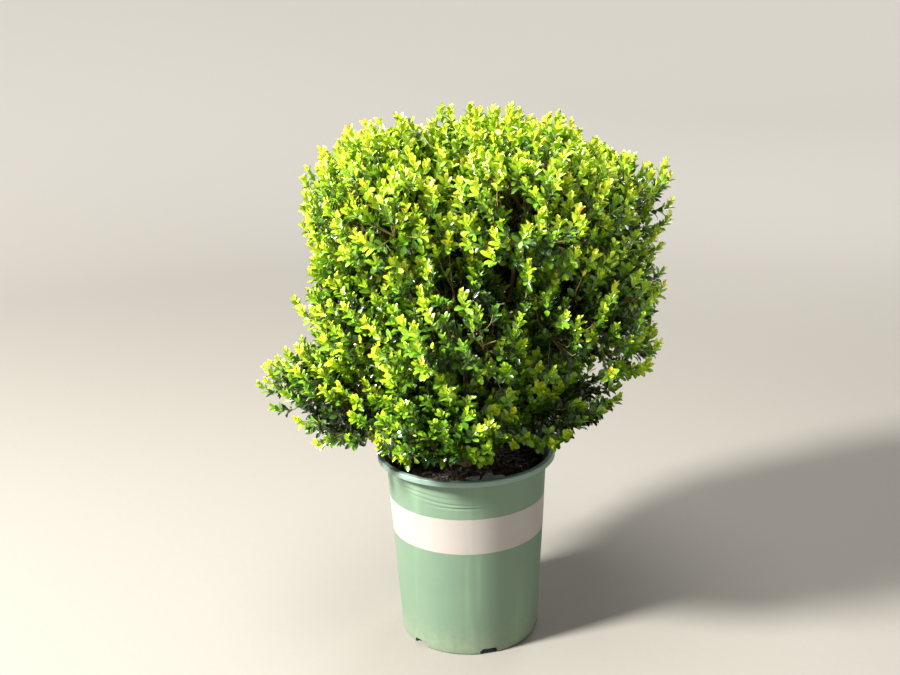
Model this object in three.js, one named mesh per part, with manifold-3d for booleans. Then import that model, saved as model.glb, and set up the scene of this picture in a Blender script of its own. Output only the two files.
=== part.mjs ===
// A young boxwood ball in a round nursery pot, about 0.83 m tall.
// Units are millimetres, +Z is up, and the origin is the middle of the pot's flat underside.
// Azimuths are degrees round the pot: 0 is the front (-Y) and 90 is the right (+X).
//
// The plant is a short stem on the potting mix, one curved bough to each mass of foliage, and the
// masses, each of which keeps to its own share of the crown.

import * as THREE from "three";
import { mergeVertices } from "three/addons/utils/BufferGeometryUtils.js";
import Module from "manifold-3d";

const wasm = await Module();
wasm.setup();

// Driving dimensions of the pot
const POT = {
  height: 300,
  baseRadius: 110,
  topRadius: 127,
  wall: 2.6,
  floor: 3,
  footRound: 3,
  lipRadius: 140,
  lipDepth: 9,
  lipInner: 131,
  lipRound: 2,
  flareDepth: 14,
  segments: 36,
};
const DRAIN = { count: 6, width: 28, height: 9, reach: 12, firstAzimuth: 14 };
const BAND = { bottom: 175.5, top: 233, thickness: 0.5 };
const GAP = 0.3; // left between pieces that touch
const SAME_POINT = 1e-4; // corners of a mesh nearer than this are one corner
const SOIL = { top: 275, edgeDrop: 6, easeDrop: 2, flatRadius: 45 };

// Driving dimensions of the plant
const STEM = {
  height: 92,
  footRadius: 17,
  neckRadius: 11.5,
  headRadius: 8.5,
  flareHeight: 16,
  flareFade: 3,
  flareCurve: 1.5,
  lean: 5,
  lobes: 4,
  lobeShare: 0.14,
  sides: 12,
  steps: 7,
};
const BOUGH = {
  baseRadius: 5,
  tipRadius: 2.8,
  sides: 5,
  steps: 5,
  handle: 0.36, // how far each end's direction is held, as a share of the bough's span
  entry: 0.86, // where the bough's tip lies, as a share of its mass's reach towards the stem
  samples: 30,
};
const CROWN = { shift: 30, shiftFrom: 430, shiftTo: 520, heart: 510, seed: 41 };
// Each ring of masses: how many, how high their middles lie, how far out from the pot's axis, how
// wide and tall each mass is from its middle, and at what azimuth the first one lies. Their boughs
// leave the stem at the height spring, every second one higher by step, and rise that steeply.
const MASS_RINGS = [
  {
    ring: "skirt",
    count: 5,
    height: 404,
    out: 136,
    wide: 118,
    tall: 112,
    first: -10,
    spring: 13,
    step: -3,
    rise: 0.3,
  },
  {
    ring: "waist",
    count: 6,
    height: 556,
    out: 166,
    wide: 136,
    tall: 138,
    first: -10,
    spring: 40,
    step: 10,
    rise: 1,
  },
  {
    ring: "shoulder",
    count: 5,
    height: 692,
    out: 156,
    wide: 140,
    tall: 128,
    first: 25,
    spring: 62,
    step: 6,
    rise: 1.5,
  },
  {
    ring: "top",
    count: 1,
    height: 726,
    out: 8,
    wide: 120,
    tall: 108,
    first: 60,
    spring: 92,
    step: 0,
    rise: 1,
  },
];
// The low spray on the left reaches out past the rest of the skirt.
const LOW_SPRAY = { ring: "skirt", number: 5, out: 196, tall: 84, lift: 16 };
// Masses that can be seen through have no core.
const OPEN_MASSES = ["skirt_2", "skirt_5"];
const MASS_JITTER = { place: 7, size: 0.05 };
// A core's corners lie between these shares of the mass's reach.
const CORE = { least: 0.48, most: 0.78, detail: 1 };
const TWIG = {
  perMass: 6,
  widest: 98, // degrees from the mass's way out
  perOpenMass: 11,
  widestOpen: 150,
  jitter: 0.16,
  tipRoom: 32, // left beyond a twig's tip for its last leaves
  leaveAngle: 50,
  firstLeaves: 0.12, // shares of the parent's length between which a twig can leave it
  lastLeaves: 0.9,
  leaveStep: 0.06,
  bendAt: 0.4,
  bend: 0.12,
  stemBend: 0.5,
  baseRadius: 2.8,
  tipRadius: 2,
  sides: 3,
  steps: 1,
  stemSteps: 3,
};
const LEAF = {
  length: 58,
  width: 34,
  thickness: 3,
  belt: 0.6, // where it is widest, as a share of its length
  rootOut: 0.3, // from the twig's middle, so the root is well inside the twig
  pairsAt: [0.76, 0.97],
  splay: 72,
  tipSplay: 48,
  sizes: [1, 0.78, 0.6],
  roll: 1,
  turnShake: 0.35,
};
const CLEARANCE = 3; // kept by foliage from the edge of its mass's space and from limbs
const NEAR_MASS = 1.1; // a bough this deep in a mass, where 1 is its surface, is cut out of it
const FOLIAGE_SEED = 900;

const COLOURS = {
  pot: 0x5f8a66,
  band: 0xe3d6c8,
  soil: 0x2b211b,
  bark: 0x8a6f50,
  leaf: 0x6f9a1f,
};
const ROUGHNESS = { pot: 0.55, band: 0.6, soil: 0.95, bark: 0.85, leaf: 0.5 };

const UP = new THREE.Vector3(0, 0, 1);
const HEART = new THREE.Vector3(CROWN.shift, 0, CROWN.heart);
const GOLDEN_TURN = Math.PI * (3 - Math.sqrt(5));

// Draws numbers from 0 to 1 that are the same on every run.
function seededDraw(seed) {
  let state = Math.imul(seed + 1, 2654435761) >>> 0;
  return () => {
    state = (Math.imul(state, 1664525) + 1013904223) >>> 0;
    return state / 2 ** 32;
  };
}

function aroundPot(azimuth, radius, height) {
  const turn = THREE.MathUtils.degToRad(azimuth);
  return new THREE.Vector3(Math.sin(turn) * radius, -Math.cos(turn) * radius, height);
}

// Solids and meshes

function solidOf(geometry) {
  const bare = geometry.clone();
  bare.deleteAttribute("normal");
  bare.deleteAttribute("uv");
  const merged = mergeVertices(bare, SAME_POINT);
  return new wasm.Manifold(
    new wasm.Mesh({
      numProp: 3,
      vertProperties: Float32Array.from(merged.attributes.position.array),
      triVerts: Uint32Array.from(merged.index.array),
    }),
  );
}

function geometryOf(solid) {
  const mesh = solid.getMesh();
  return new THREE.BufferGeometry()
    .setAttribute("position", new THREE.BufferAttribute(mesh.vertProperties, 3))
    .setIndex(new THREE.BufferAttribute(mesh.triVerts, 1));
}

// The largest body of a solid, without the scraps that a cut leaves.
function largestBody(solid) {
  const bodies = solid.decompose();
  return bodies.reduce((best, body) => (body.volume() > best.volume() ? body : best));
}

function addNode(group, name, solid, kind) {
  const finish = { color: COLOURS[kind], roughness: ROUGHNESS[kind], metalness: 0 };
  const mesh = new THREE.Mesh(geometryOf(solid), new THREE.MeshStandardMaterial(finish));
  mesh.name = name;
  group.add(mesh);
}

// The pot, its printed band and the potting mix

function wallRadius(height) {
  return POT.baseRadius + ((POT.topRadius - POT.baseRadius) * height) / POT.height;
}

// A solid of revolution about Z from [radius, height] pairs that run up the outside.
function turned(profile) {
  const points = profile.map(([radius, height]) => new THREE.Vector2(radius, height));
  return solidOf(new THREE.LatheGeometry(points, POT.segments).rotateX(Math.PI / 2));
}

function potShell() {
  const recess = BAND.thickness + GAP;
  const lipBottom = POT.height - POT.lipDepth;
  const flareFoot = POT.height - POT.flareDepth;
  const shell = turned([
    [0, 0],
    [POT.baseRadius - POT.footRound, 0],
    [wallRadius(POT.footRound), POT.footRound],
    [wallRadius(BAND.bottom), BAND.bottom - GAP],
    [wallRadius(BAND.bottom) - recess, BAND.bottom - GAP],
    [wallRadius(BAND.top) - recess, BAND.top + GAP],
    [wallRadius(BAND.top), BAND.top + GAP],
    [wallRadius(lipBottom), lipBottom],
    [POT.lipRadius - POT.lipRound / 2, lipBottom],
    [POT.lipRadius, lipBottom + POT.lipRound],
    [POT.lipRadius, POT.height - POT.lipRound],
    [POT.lipRadius - POT.lipRound, POT.height],
    [POT.lipInner + POT.lipRound, POT.height],
    [POT.lipInner, POT.height - POT.lipRound],
    [wallRadius(flareFoot) - POT.wall, flareFoot],
    [wallRadius(POT.floor) - POT.wall, POT.floor],
    [0, POT.floor],
  ]);
  const notch = new THREE.BoxGeometry(DRAIN.width, 2 * DRAIN.reach, 2 * DRAIN.height);
  let pot = shell;
  for (let k = 0; k < DRAIN.count; k++) {
    const azimuth = DRAIN.firstAzimuth + (360 * k) / DRAIN.count;
    const place = aroundPot(azimuth, POT.baseRadius, 0);
    const cut = notch.clone().rotateZ(THREE.MathUtils.degToRad(azimuth));
    cut.translate(place.x, place.y, place.z);
    pot = pot.subtract(solidOf(cut));
  }
  return pot;
}

function printedBand() {
  const inside = (height) => wallRadius(height) - BAND.thickness;
  return turned([
    [inside(BAND.bottom), BAND.bottom],
    [wallRadius(BAND.bottom), BAND.bottom],
    [wallRadius(BAND.top), BAND.top],
    [inside(BAND.top), BAND.top],
    [inside(BAND.bottom), BAND.bottom],
  ]);
}

function pottingMix() {
  const edge = (height) => wallRadius(height) - POT.wall - GAP;
  const bottom = POT.floor + GAP;
  const shoulder = SOIL.top - SOIL.edgeDrop;
  return turned([
    [0, bottom],
    [edge(bottom), bottom],
    [edge(shoulder), shoulder],
    [(edge(shoulder) + SOIL.flatRadius) / 2, SOIL.top - SOIL.easeDrop],
    [SOIL.flatRadius, SOIL.top],
    [0, SOIL.top],
  ]);
}

// Limbs: a cylinder whose rings are laid along a curve, with radiusAt(share, turn) at each vertex

function limbSolid(curve, radiusAt, sides, steps) {
  const frames = curve.computeFrenetFrames(steps, false);
  const cylinder = new THREE.CylinderGeometry(1, 1, 1, sides, steps);
  const place = cylinder.attributes.position;
  for (let i = 0; i < place.count; i++) {
    const share = place.getY(i) + 0.5;
    const ring = Math.round(share * steps);
    const turn = Math.atan2(place.getZ(i), place.getX(i));
    const radius = radiusAt(share, turn);
    const spot = curve
      .getPointAt(share)
      .addScaledVector(frames.normals[ring], place.getX(i) * radius)
      .addScaledVector(frames.binormals[ring], -place.getZ(i) * radius);
    place.setXYZ(i, spot.x, spot.y, spot.z);
  }
  return solidOf(cylinder);
}

function taper(from, to) {
  return (share) => from + (to - from) * share;
}

// Points down the middle of a limb with the limb's radius there, for keeping foliage clear of it.
function limbSamples(curve, radiusAt, count) {
  return Array.from({ length: count + 1 }, (_, i) => ({
    point: curve.getPointAt(i / count),
    radius: radiusAt(i / count, 0),
  }));
}

const stemFoot = new THREE.Vector3(0, 0, SOIL.top + GAP);
const stemHead = new THREE.Vector3(STEM.lean, 0, SOIL.top + GAP + STEM.height);
const stemCurve = new THREE.QuadraticBezierCurve3(
  stemFoot,
  new THREE.Vector3(0, 0, stemFoot.z + STEM.height / 2),
  stemHead,
);

function stemRadius(share, turn, extra = 0) {
  const above = share * STEM.height;
  const trunk = STEM.neckRadius + (STEM.headRadius - STEM.neckRadius) * share;
  const flare = Math.exp(-STEM.flareFade * (above / STEM.flareHeight) ** STEM.flareCurve);
  const lobes = 1 + STEM.lobeShare * flare * Math.cos(STEM.lobes * turn);
  return (trunk + (STEM.footRadius - STEM.neckRadius) * flare) * lobes + extra;
}

function stemSolid(extra) {
  return limbSolid(stemCurve, (share, turn) => stemRadius(share, turn, extra), STEM.sides, STEM.steps);
}

// The masses and the share of the crown that each may fill

function makeMasses() {
  const draw = seededDraw(CROWN.seed);
  const shake = (size) => (draw() * 2 - 1) * size;
  const made = [];
  for (const ring of MASS_RINGS) {
    for (let k = 0; k < ring.count; k++) {
      const name = ring.count > 1 ? `${ring.ring}_${k + 1}` : ring.ring;
      const spray = ring.ring === LOW_SPRAY.ring && k + 1 === LOW_SPRAY.number;
      const out = spray ? LOW_SPRAY.out : ring.out;
      const middle = aroundPot(ring.first + (360 * k) / ring.count, out, ring.height);
      if (spray) middle.z += LOW_SPRAY.lift;
      const shifted = THREE.MathUtils.smoothstep(ring.height, CROWN.shiftFrom, CROWN.shiftTo);
      middle.x += CROWN.shift * shifted;
      middle.add(new THREE.Vector3(shake(1), shake(1), shake(1)).multiplyScalar(MASS_JITTER.place));
      made.push({
        name,
        middle,
        wide: ring.wide * (1 + shake(MASS_JITTER.size)),
        tall: (spray ? LOW_SPRAY.tall : ring.tall) * (1 + shake(MASS_JITTER.size)),
        spring: ring.spring + (k % 2) * ring.step,
        rise: ring.rise,
        open: OPEN_MASSES.includes(name),
        seed: made.length,
      });
    }
  }
  return made;
}

const masses = makeMasses();

// 0 at the middle of a mass and 1 on its surface.
function depthIn(mass, p) {
  const across = Math.hypot(p.x - mass.middle.x, p.y - mass.middle.y) / mass.wide;
  return Math.hypot(across, (p.z - mass.middle.z) / mass.tall);
}

function overPot(p, margin) {
  const inside = Math.hypot(p.x, p.y) < POT.lipInner - POT.flareDepth;
  return p.z - margin > (inside ? SOIL.top : POT.height);
}

// Whether a point lies in a mass's own space, and not nearer to the middle of another mass.
function inSpace(mass, p, margin) {
  const own = depthIn(mass, p) + margin / mass.wide;
  return own < 1 && overPot(p, margin) && masses.every((m) => m === mass || own < depthIn(m, p));
}

function reachFrom(mass, direction) {
  const step = 2;
  const p = mass.middle.clone();
  let reach = 0;
  while (inSpace(mass, p.addScaledVector(direction, step), CLEARANCE)) reach += step;
  return reach;
}

// Boughs run from inside the stem to where they enter their mass.

function boughCurve(mass) {
  const share = mass.spring / STEM.height;
  const start = stemCurve.getPoint(Math.min(share, 1));
  const inward = stemHead.clone().sub(mass.middle).normalize();
  const end = mass.middle.clone().addScaledVector(inward, reachFrom(mass, inward) * BOUGH.entry);
  const handle = start.distanceTo(end) * BOUGH.handle;
  if (share >= 1) start.addScaledVector(UP, GAP);
  const outward = end.clone().sub(start).setZ(0).normalize();
  const leaving = share >= 1 ? UP.clone() : outward.addScaledVector(UP, mass.rise).normalize();
  const entering = inward.clone().negate().add(UP).normalize();
  return new THREE.CubicBezierCurve3(
    start,
    start.clone().addScaledVector(leaving, handle),
    end.clone().addScaledVector(entering, -handle),
    end,
  );
}

const boughRadius = taper(BOUGH.baseRadius, BOUGH.tipRadius);
for (const mass of masses) {
  mass.bough = boughCurve(mass);
  mass.samples = limbSamples(mass.bough, boughRadius, BOUGH.samples);
}
const limbPoints = [
  ...limbSamples(stemCurve, (share) => stemRadius(share, 0), BOUGH.samples),
  ...masses.flatMap((mass) => mass.samples),
];

function touchesLimb(p, margin) {
  return limbPoints.some((limb) => limb.point.distanceTo(p) < limb.radius + margin);
}

// Foliage

// Directions spread evenly round an axis by the golden turn, out to the widest angle from it, each
// shaken a little.
function spreadDirections(axis, count, widest, jitter, draw) {
  const toAxis = new THREE.Quaternion().setFromUnitVectors(UP, axis);
  const drop = 1 - Math.cos(THREE.MathUtils.degToRad(widest));
  return Array.from({ length: count }, (_, i) => {
    const z = 1 - (drop * (i + 1)) / count;
    const level = Math.sqrt(1 - z * z);
    const turn = i * GOLDEN_TURN;
    const direction = new THREE.Vector3(Math.cos(turn) * level, Math.sin(turn) * level, z);
    const shake = new THREE.Vector3(draw() - 0.5, draw() - 0.5, draw() - 0.5);
    return direction.applyQuaternion(toAxis).addScaledVector(shake, 2 * jitter).normalize();
  });
}

// Where along its parent a twig leaves, so that it makes about the angle that boxwood does.
function leavingShare(parent, target) {
  const wanted = THREE.MathUtils.degToRad(TWIG.leaveAngle);
  let best = { share: 0, miss: Infinity };
  for (let share = TWIG.firstLeaves; share < TWIG.lastLeaves; share += TWIG.leaveStep) {
    const away = target.clone().sub(parent.getPointAt(share));
    const miss = Math.abs(away.angleTo(parent.getTangentAt(share)) - wanted);
    if (miss < best.miss) best = { share, miss };
  }
  return best.share;
}

function twigCurve(parent, target) {
  const share = leavingShare(parent, target);
  const start = parent.getPointAt(share);
  const bow = start.distanceTo(target) * TWIG.bend;
  const bend = start.clone().lerp(target, TWIG.bendAt).addScaledVector(parent.getTangentAt(share), bow);
  return new THREE.QuadraticBezierCurve3(start, bend, target);
}

// A leaf is a flattened octahedron, widest past its middle. Its base is at the origin, along +Y.
function leafGeometry(size) {
  const leaf = new THREE.OctahedronGeometry(1);
  const place = leaf.attributes.position;
  for (let i = 0; i < place.count; i++) {
    const along = place.getY(i) === 0 ? LEAF.belt : (place.getY(i) + 1) / 2;
    place.setXYZ(
      i,
      (place.getX(i) * LEAF.width * size) / 2,
      along * LEAF.length * size,
      (place.getZ(i) * LEAF.thickness) / 2,
    );
  }
  return leaf;
}

// The leaf's place on a twig: its base sunk in the twig, its face turned to the twig's tip and then
// rolled a little about its own length.
function leafPlace(curve, share, turn, splay, roll) {
  const forward = curve.getTangentAt(share);
  const level = new THREE.Vector3().crossVectors(forward, UP).normalize();
  const side = level.applyAxisAngle(forward, turn);
  const angle = THREE.MathUtils.degToRad(splay);
  const along = forward.clone().multiplyScalar(Math.cos(angle)).addScaledVector(side, Math.sin(angle));
  const across = new THREE.Vector3().crossVectors(along, forward).normalize();
  across.applyAxisAngle(along, roll);
  const face = new THREE.Vector3().crossVectors(across, along);
  const base = curve.getPointAt(share).addScaledVector(along, LEAF.rootOut);
  return new THREE.Matrix4().makeBasis(across, along, face).setPosition(base);
}

function fitsSpace(mass, geometry) {
  const place = geometry.attributes.position;
  const p = new THREE.Vector3();
  for (let i = 0; i < place.count; i++) {
    p.fromBufferAttribute(place, i);
    if (!inSpace(mass, p, CLEARANCE) || touchesLimb(p, CLEARANCE)) return false;
  }
  return true;
}

// Grows opposite pairs of leaves on a twig. A leaf that would leave the mass's space or touch a limb,
// another twig or another leaf is tried smaller, and then left out.
function growLeaves(mass, curve, draw, others) {
  const leaves = [];
  LEAF.pairsAt.forEach((share, pair) => {
    const splay = pair + 1 < LEAF.pairsAt.length ? LEAF.splay : LEAF.tipSplay;
    const turn = pair * (Math.PI / 2) + (draw() * 2 - 1) * LEAF.turnShake;
    for (const side of [0, Math.PI]) {
      const roll = (draw() * 2 - 1) * LEAF.roll;
      const place = leafPlace(curve, share, turn + side, splay, roll);
      for (const size of LEAF.sizes) {
        const leaf = leafGeometry(size).applyMatrix4(place);
        if (!fitsSpace(mass, leaf)) continue;
        const solid = solidOf(leaf);
        if ([...others, ...leaves].some((other) => !other.intersect(solid).isEmpty())) continue;
        leaves.push(solid);
        break;
      }
    }
  });
  return leaves;
}

// The dense inside of a mass: a blob that follows the mass's own space, part of the way out. Its
// corners stand out by different shares, as clumps of leaves do.
function coreSolid(mass, draw) {
  const ball = new THREE.IcosahedronGeometry(1, CORE.detail);
  ball.deleteAttribute("normal");
  ball.deleteAttribute("uv");
  const blob = mergeVertices(ball, SAME_POINT);
  const place = blob.attributes.position;
  const p = new THREE.Vector3();
  for (let i = 0; i < place.count; i++) {
    const direction = p.fromBufferAttribute(place, i).clone().normalize();
    const share = CORE.least + (CORE.most - CORE.least) * draw();
    p.copy(mass.middle).addScaledVector(direction, share * reachFrom(mass, direction));
    place.setXYZ(i, p.x, p.y, p.z);
  }
  return solidOf(blob);
}

// The way out of the crown from its heart through the middle of a mass.
function wayOut(mass) {
  return mass.middle.clone().sub(HEART).normalize();
}

// A mass grows on one stem, which carries on from its bough.
function massStem(mass) {
  const tip = mass.bough.getPoint(1);
  const entering = mass.bough.getTangentAt(1);
  const start = tip.clone().addScaledVector(entering, GAP);
  const outward = wayOut(mass);
  const end = mass.middle.clone().addScaledVector(outward, reachFrom(mass, outward) - TWIG.tipRoom);
  const bend = start.clone().addScaledVector(entering, start.distanceTo(end) * TWIG.stemBend);
  return new THREE.QuadraticBezierCurve3(start, bend, end);
}

function clearTwig(mass, curve) {
  const middle = curve.getPointAt(0.5);
  return inSpace(mass, middle, CLEARANCE) && !touchesLimb(middle, CLEARANCE);
}

function massSolid(mass) {
  const draw = seededDraw(FOLIAGE_SEED + mass.seed);
  const stem = massStem(mass);
  const stemTaper = taper(BOUGH.tipRadius, TWIG.tipRadius);
  const twigs = [{ curve: stem, solid: limbSolid(stem, stemTaper, TWIG.sides, TWIG.stemSteps) }];
  const count = mass.open ? TWIG.perOpenMass : TWIG.perMass;
  const widest = mass.open ? TWIG.widestOpen : TWIG.widest;
  for (const direction of spreadDirections(wayOut(mass), count, widest, TWIG.jitter, draw)) {
    const reach = reachFrom(mass, direction) - TWIG.tipRoom;
    const target = mass.middle.clone().addScaledVector(direction, reach);
    const curve = twigCurve(stem, target);
    if (!clearTwig(mass, curve)) continue;
    const twigTaper = taper(TWIG.baseRadius, TWIG.tipRadius);
    twigs.push({ curve, solid: limbSolid(curve, twigTaper, TWIG.sides, TWIG.steps) });
  }
  const pieces = twigs.map((twig) => twig.solid);
  for (const twig of twigs) {
    pieces.push(...growLeaves(mass, twig.curve, draw, pieces.filter((piece) => piece !== twig.solid)));
  }
  if (!mass.open) pieces.push(coreSolid(mass, draw));
  let solid = wasm.Manifold.union(pieces);
  for (const other of masses) {
    const near = other.samples.some(({ point }) => depthIn(mass, point) < NEAR_MASS);
    if (near) solid = solid.subtract(other.fatBough);
  }
  return largestBody(solid);
}

const container = new THREE.Group();
addNode(container, "pot", potShell(), "pot");
addNode(container, "band", printedBand(), "band");
addNode(container, "potting_mix", pottingMix(), "soil");

const shrub = new THREE.Group();
addNode(shrub, "stem", stemSolid(0), "bark");

// The upper boughs are whole. Where a lower one meets one of them it springs from it, with the gap.
let limbsSoFar = stemSolid(GAP).add(stemSolid(GAP).translate([0, 0, GAP]));
for (const mass of [...masses].reverse()) {
  const limb = limbSolid(mass.bough, boughRadius, BOUGH.sides, BOUGH.steps);
  mass.fatBough = limbSolid(mass.bough, (share) => boughRadius(share) + GAP, BOUGH.sides, BOUGH.steps);
  addNode(shrub, `bough_${mass.name}`, largestBody(limb.subtract(limbsSoFar)), "bark");
  limbsSoFar = limbsSoFar.add(mass.fatBough);
}
for (const mass of masses) {
  addNode(shrub, `foliage_${mass.name}`, massSolid(mass), "leaf");
}

const pottedShrub = new THREE.Group();
pottedShrub.add(container, shrub);

export default pottedShrub;
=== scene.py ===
# %% [markdown]
# A potted box shrub, loosely rounded and thick with small glossy leaves, in a green nursery pot.
#
# The packed CAD part is loaded first. It fixes where everything stands, in metres, with the pot's
# underside on the ground at the origin. Each piece below takes the place of one or more CAD nodes,
# with the detail that the eye wants and the checks don't need.

import math

import bmesh
import bpy
import numpy as np
from mathutils import Matrix, Vector


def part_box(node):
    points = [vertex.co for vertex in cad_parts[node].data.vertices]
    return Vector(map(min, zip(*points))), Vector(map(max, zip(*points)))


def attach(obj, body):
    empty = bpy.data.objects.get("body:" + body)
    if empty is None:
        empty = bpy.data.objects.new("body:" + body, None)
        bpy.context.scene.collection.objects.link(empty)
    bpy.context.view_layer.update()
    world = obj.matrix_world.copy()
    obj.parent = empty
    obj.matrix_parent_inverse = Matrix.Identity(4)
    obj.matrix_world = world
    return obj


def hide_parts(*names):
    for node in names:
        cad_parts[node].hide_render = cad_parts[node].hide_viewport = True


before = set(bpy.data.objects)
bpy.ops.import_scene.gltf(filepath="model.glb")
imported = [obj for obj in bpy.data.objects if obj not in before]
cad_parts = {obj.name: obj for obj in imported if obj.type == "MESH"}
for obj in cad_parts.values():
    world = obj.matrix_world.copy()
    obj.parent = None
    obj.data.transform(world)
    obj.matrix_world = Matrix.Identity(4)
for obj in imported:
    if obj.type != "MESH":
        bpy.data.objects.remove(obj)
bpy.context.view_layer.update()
MM = 0.001
ROOT = "root"

# %% [markdown]
# The photograph was taken from about one and a half metres in front of the pot and a little above
# the crown, looking slightly down, with the camera tipped clockwise by a degree or two. The pot's
# rim and foot gave the place and the lens. A Track To constraint could aim the camera but not tip
# it. It looks along its own -Z, so its axes are worked out first and written into its matrix.

# %% Camera
CAMERA_PLACE = Vector((-0.0203, -1.5134, 0.8797))
CAMERA_LENS, SENSOR_WIDTH = 40.8, 36
CAMERA_PITCH = math.radians(14.76)
CAMERA_ROLL = math.radians(1.631)


def add_object(name, data):
    """A new object in the scene that shows a mesh, a light or a camera."""
    made = bpy.data.objects.new(name, data)
    bpy.context.scene.collection.objects.link(made)
    return made


def add_camera():
    looks = Vector((0, math.cos(CAMERA_PITCH), -math.sin(CAMERA_PITCH)))
    level = Vector((1, 0, 0))
    upright = level.cross(looks)
    right = level * math.cos(CAMERA_ROLL) - upright * math.sin(CAMERA_ROLL)
    up = level * math.sin(CAMERA_ROLL) + upright * math.cos(CAMERA_ROLL)
    data = bpy.data.cameras.new("camera")
    data.lens = CAMERA_LENS
    data.sensor_width = SENSOR_WIDTH
    data.dof.use_dof = False
    camera = add_object("camera", data)
    turned = Matrix((right, up, -looks)).transposed().to_4x4()
    camera.matrix_world = Matrix.Translation(CAMERA_PLACE) @ turned
    bpy.context.scene.camera = camera


add_camera()
print("camera", CAMERA_LENS, "mm,", round(math.degrees(CAMERA_PITCH), 2), "degrees down")

# %% [markdown]
# A screen codes its colours so that dark tones get more of the numbers. Blender works with light
# itself, where twice the number is twice the light. Colours could be typed in as light, but they
# are easier to compare with a photograph as a screen shows them, so they are written that way.

# %% Screen colours


def linear(code):
    """A colour as seen on a screen, such as 0x5F8A66, as the light that Blender works with."""
    shown = [(code >> shift & 255) / 255 for shift in (16, 8, 0)]
    light = [c / 12.92 if c <= 0.04045 else ((c + 0.055) / 1.055) ** 2.4 for c in shown]
    return (*light, 1.0)


print("a mid green is", tuple(round(c, 3) for c in linear(0x5F8A66)))

# %% [markdown]
# A finish is a material made of nodes, and most of its nodes do sums. Wiring each sum by hand hides
# what it says. So a Value stands for what a node gives, and can be added to, taken from a number
# and multiplied as a number can.

# %% Values


class Value:
    """What a shader node gives. Arithmetic on it adds Math nodes."""

    def __init__(self, finish, socket):
        self.finish = finish
        self.socket = socket

    def maths(self, operation, first, second):
        return self.finish.node("ShaderNodeMath", {"operation": operation}, {0: first, 1: second})

    def __add__(self, other):
        return self.maths("ADD", self, other)

    def __radd__(self, other):
        return self.maths("ADD", other, self)

    def __sub__(self, other):
        return self.maths("SUBTRACT", self, other)

    def __rsub__(self, other):
        return self.maths("SUBTRACT", other, self)

    def __mul__(self, other):
        return self.maths("MULTIPLY", self, other)

    def __rmul__(self, other):
        return self.maths("MULTIPLY", other, self)


sums = [name.strip("_") for name in vars(Value) if name.endswith(("add__", "sub__", "mul__"))]
print("a Value's sums:", ", ".join(sums))

# %% [markdown]
# Plastic, ink, bark and leaves differ in colour, gloss and grain, but all are one Principled shader
# with something different behind its sockets. So one class makes them all, and one method adds any
# node. Colours are blended by a Mix node, because arithmetic would turn them grey.

# %% Finishes


class Finish:
    """A material, its Principled shader, and the one way in which nodes are added to it."""

    def __init__(self, name, **constants):
        self.material = bpy.data.materials.new(name)
        self.material.use_nodes = True
        self.tree = self.material.node_tree
        self.tree.nodes.clear()
        self.shader = self.tree.nodes.new("ShaderNodeBsdfPrincipled")
        output = self.tree.nodes.new("ShaderNodeOutputMaterial")
        self.tree.links.new(self.shader.outputs["BSDF"], output.inputs["Surface"])
        for socket, constant in constants.items():
            self.set(socket.replace("_", " ").title(), constant)

    def put(self, socket, given):
        """Links a socket to a Value, or sets it to a number or a colour."""
        if isinstance(given, Value):
            self.tree.links.new(given.socket, socket)
        else:
            socket.default_value = given

    def set(self, name, given):
        """Gives one of the shader's own sockets its value or its link."""
        self.put(self.shader.inputs[name], given)

    def node(self, kind, settings, inputs, output=0):
        """Adds a node of a kind: its settings first, then its sockets' values or links."""
        made = self.tree.nodes.new(kind)
        for name, setting in settings.items():
            if name == "stops":
                first, last = made.color_ramp.elements
                first.position, first.color = setting[0]
                last.position, last.color = setting[-1]
                for position, colour in setting[1:-1]:
                    made.color_ramp.elements.new(position).color = colour
            else:
                setattr(made, name, setting)
        for name, given in inputs.items():
            self.put(made.inputs[name], given)
        return Value(self, made.outputs[output])

    def spot(self):
        """Where a point lies on the piece, in metres."""
        return self.node("ShaderNodeTexCoord", {}, {}, "Object")

    def height(self):
        """How high a point lies, in metres."""
        return self.node("ShaderNodeSeparateXYZ", {}, {"Vector": self.spot()}, "Z")

    def distance(self):
        """How far a point lies from the middle of the floor, in metres."""
        return self.node("ShaderNodeVectorMath", {"operation": "LENGTH"}, {0: self.spot()}, "Value")

    def noise(self, scale, detail=3, stretch=(1, 1, 1), roughness=0.55):
        """Cloudy unevenness from 0 to 1. A small number in stretch draws it out along that axis."""
        stretched = self.node("ShaderNodeMapping", {}, {"Vector": self.spot(), "Scale": stretch})
        inputs = {"Vector": stretched, "Scale": scale, "Detail": detail, "Roughness": roughness}
        return self.node("ShaderNodeTexNoise", {}, inputs, "Fac")

    def steps(self, value, low, high):
        """0 where value is under low, 1 where it is over high, and a soft step between them."""
        inputs = {"Value": value, "From Min": low, "From Max": high}
        return self.node("ShaderNodeMapRange", {"interpolation_type": "SMOOTHSTEP"}, inputs)

    def blend(self, share, first, second):
        """The first colour where share is 0 and the second where it is 1."""
        inputs = {"Factor": share, 6: first, 7: second}
        return self.node("ShaderNodeMix", {"data_type": "RGBA"}, inputs, 2)

    def ramp(self, value, *stops):
        """A colour for each value, from stops of a position and a screen colour."""
        stops = [(position, linear(code)) for position, code in stops]
        return self.node("ShaderNodeValToRGB", {"stops": stops}, {"Fac": value}, "Color")

    def bumps(self, height, depth, strength=1.0):
        """Bumps of a real depth in metres, where height runs from 0 to 1."""
        inputs = {"Height": height, "Distance": depth, "Strength": strength}
        self.set("Normal", self.node("ShaderNodeBump", {}, inputs, "Normal"))


print("a finish has", sum(callable(each) for each in vars(Finish).values()), "methods")
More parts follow.
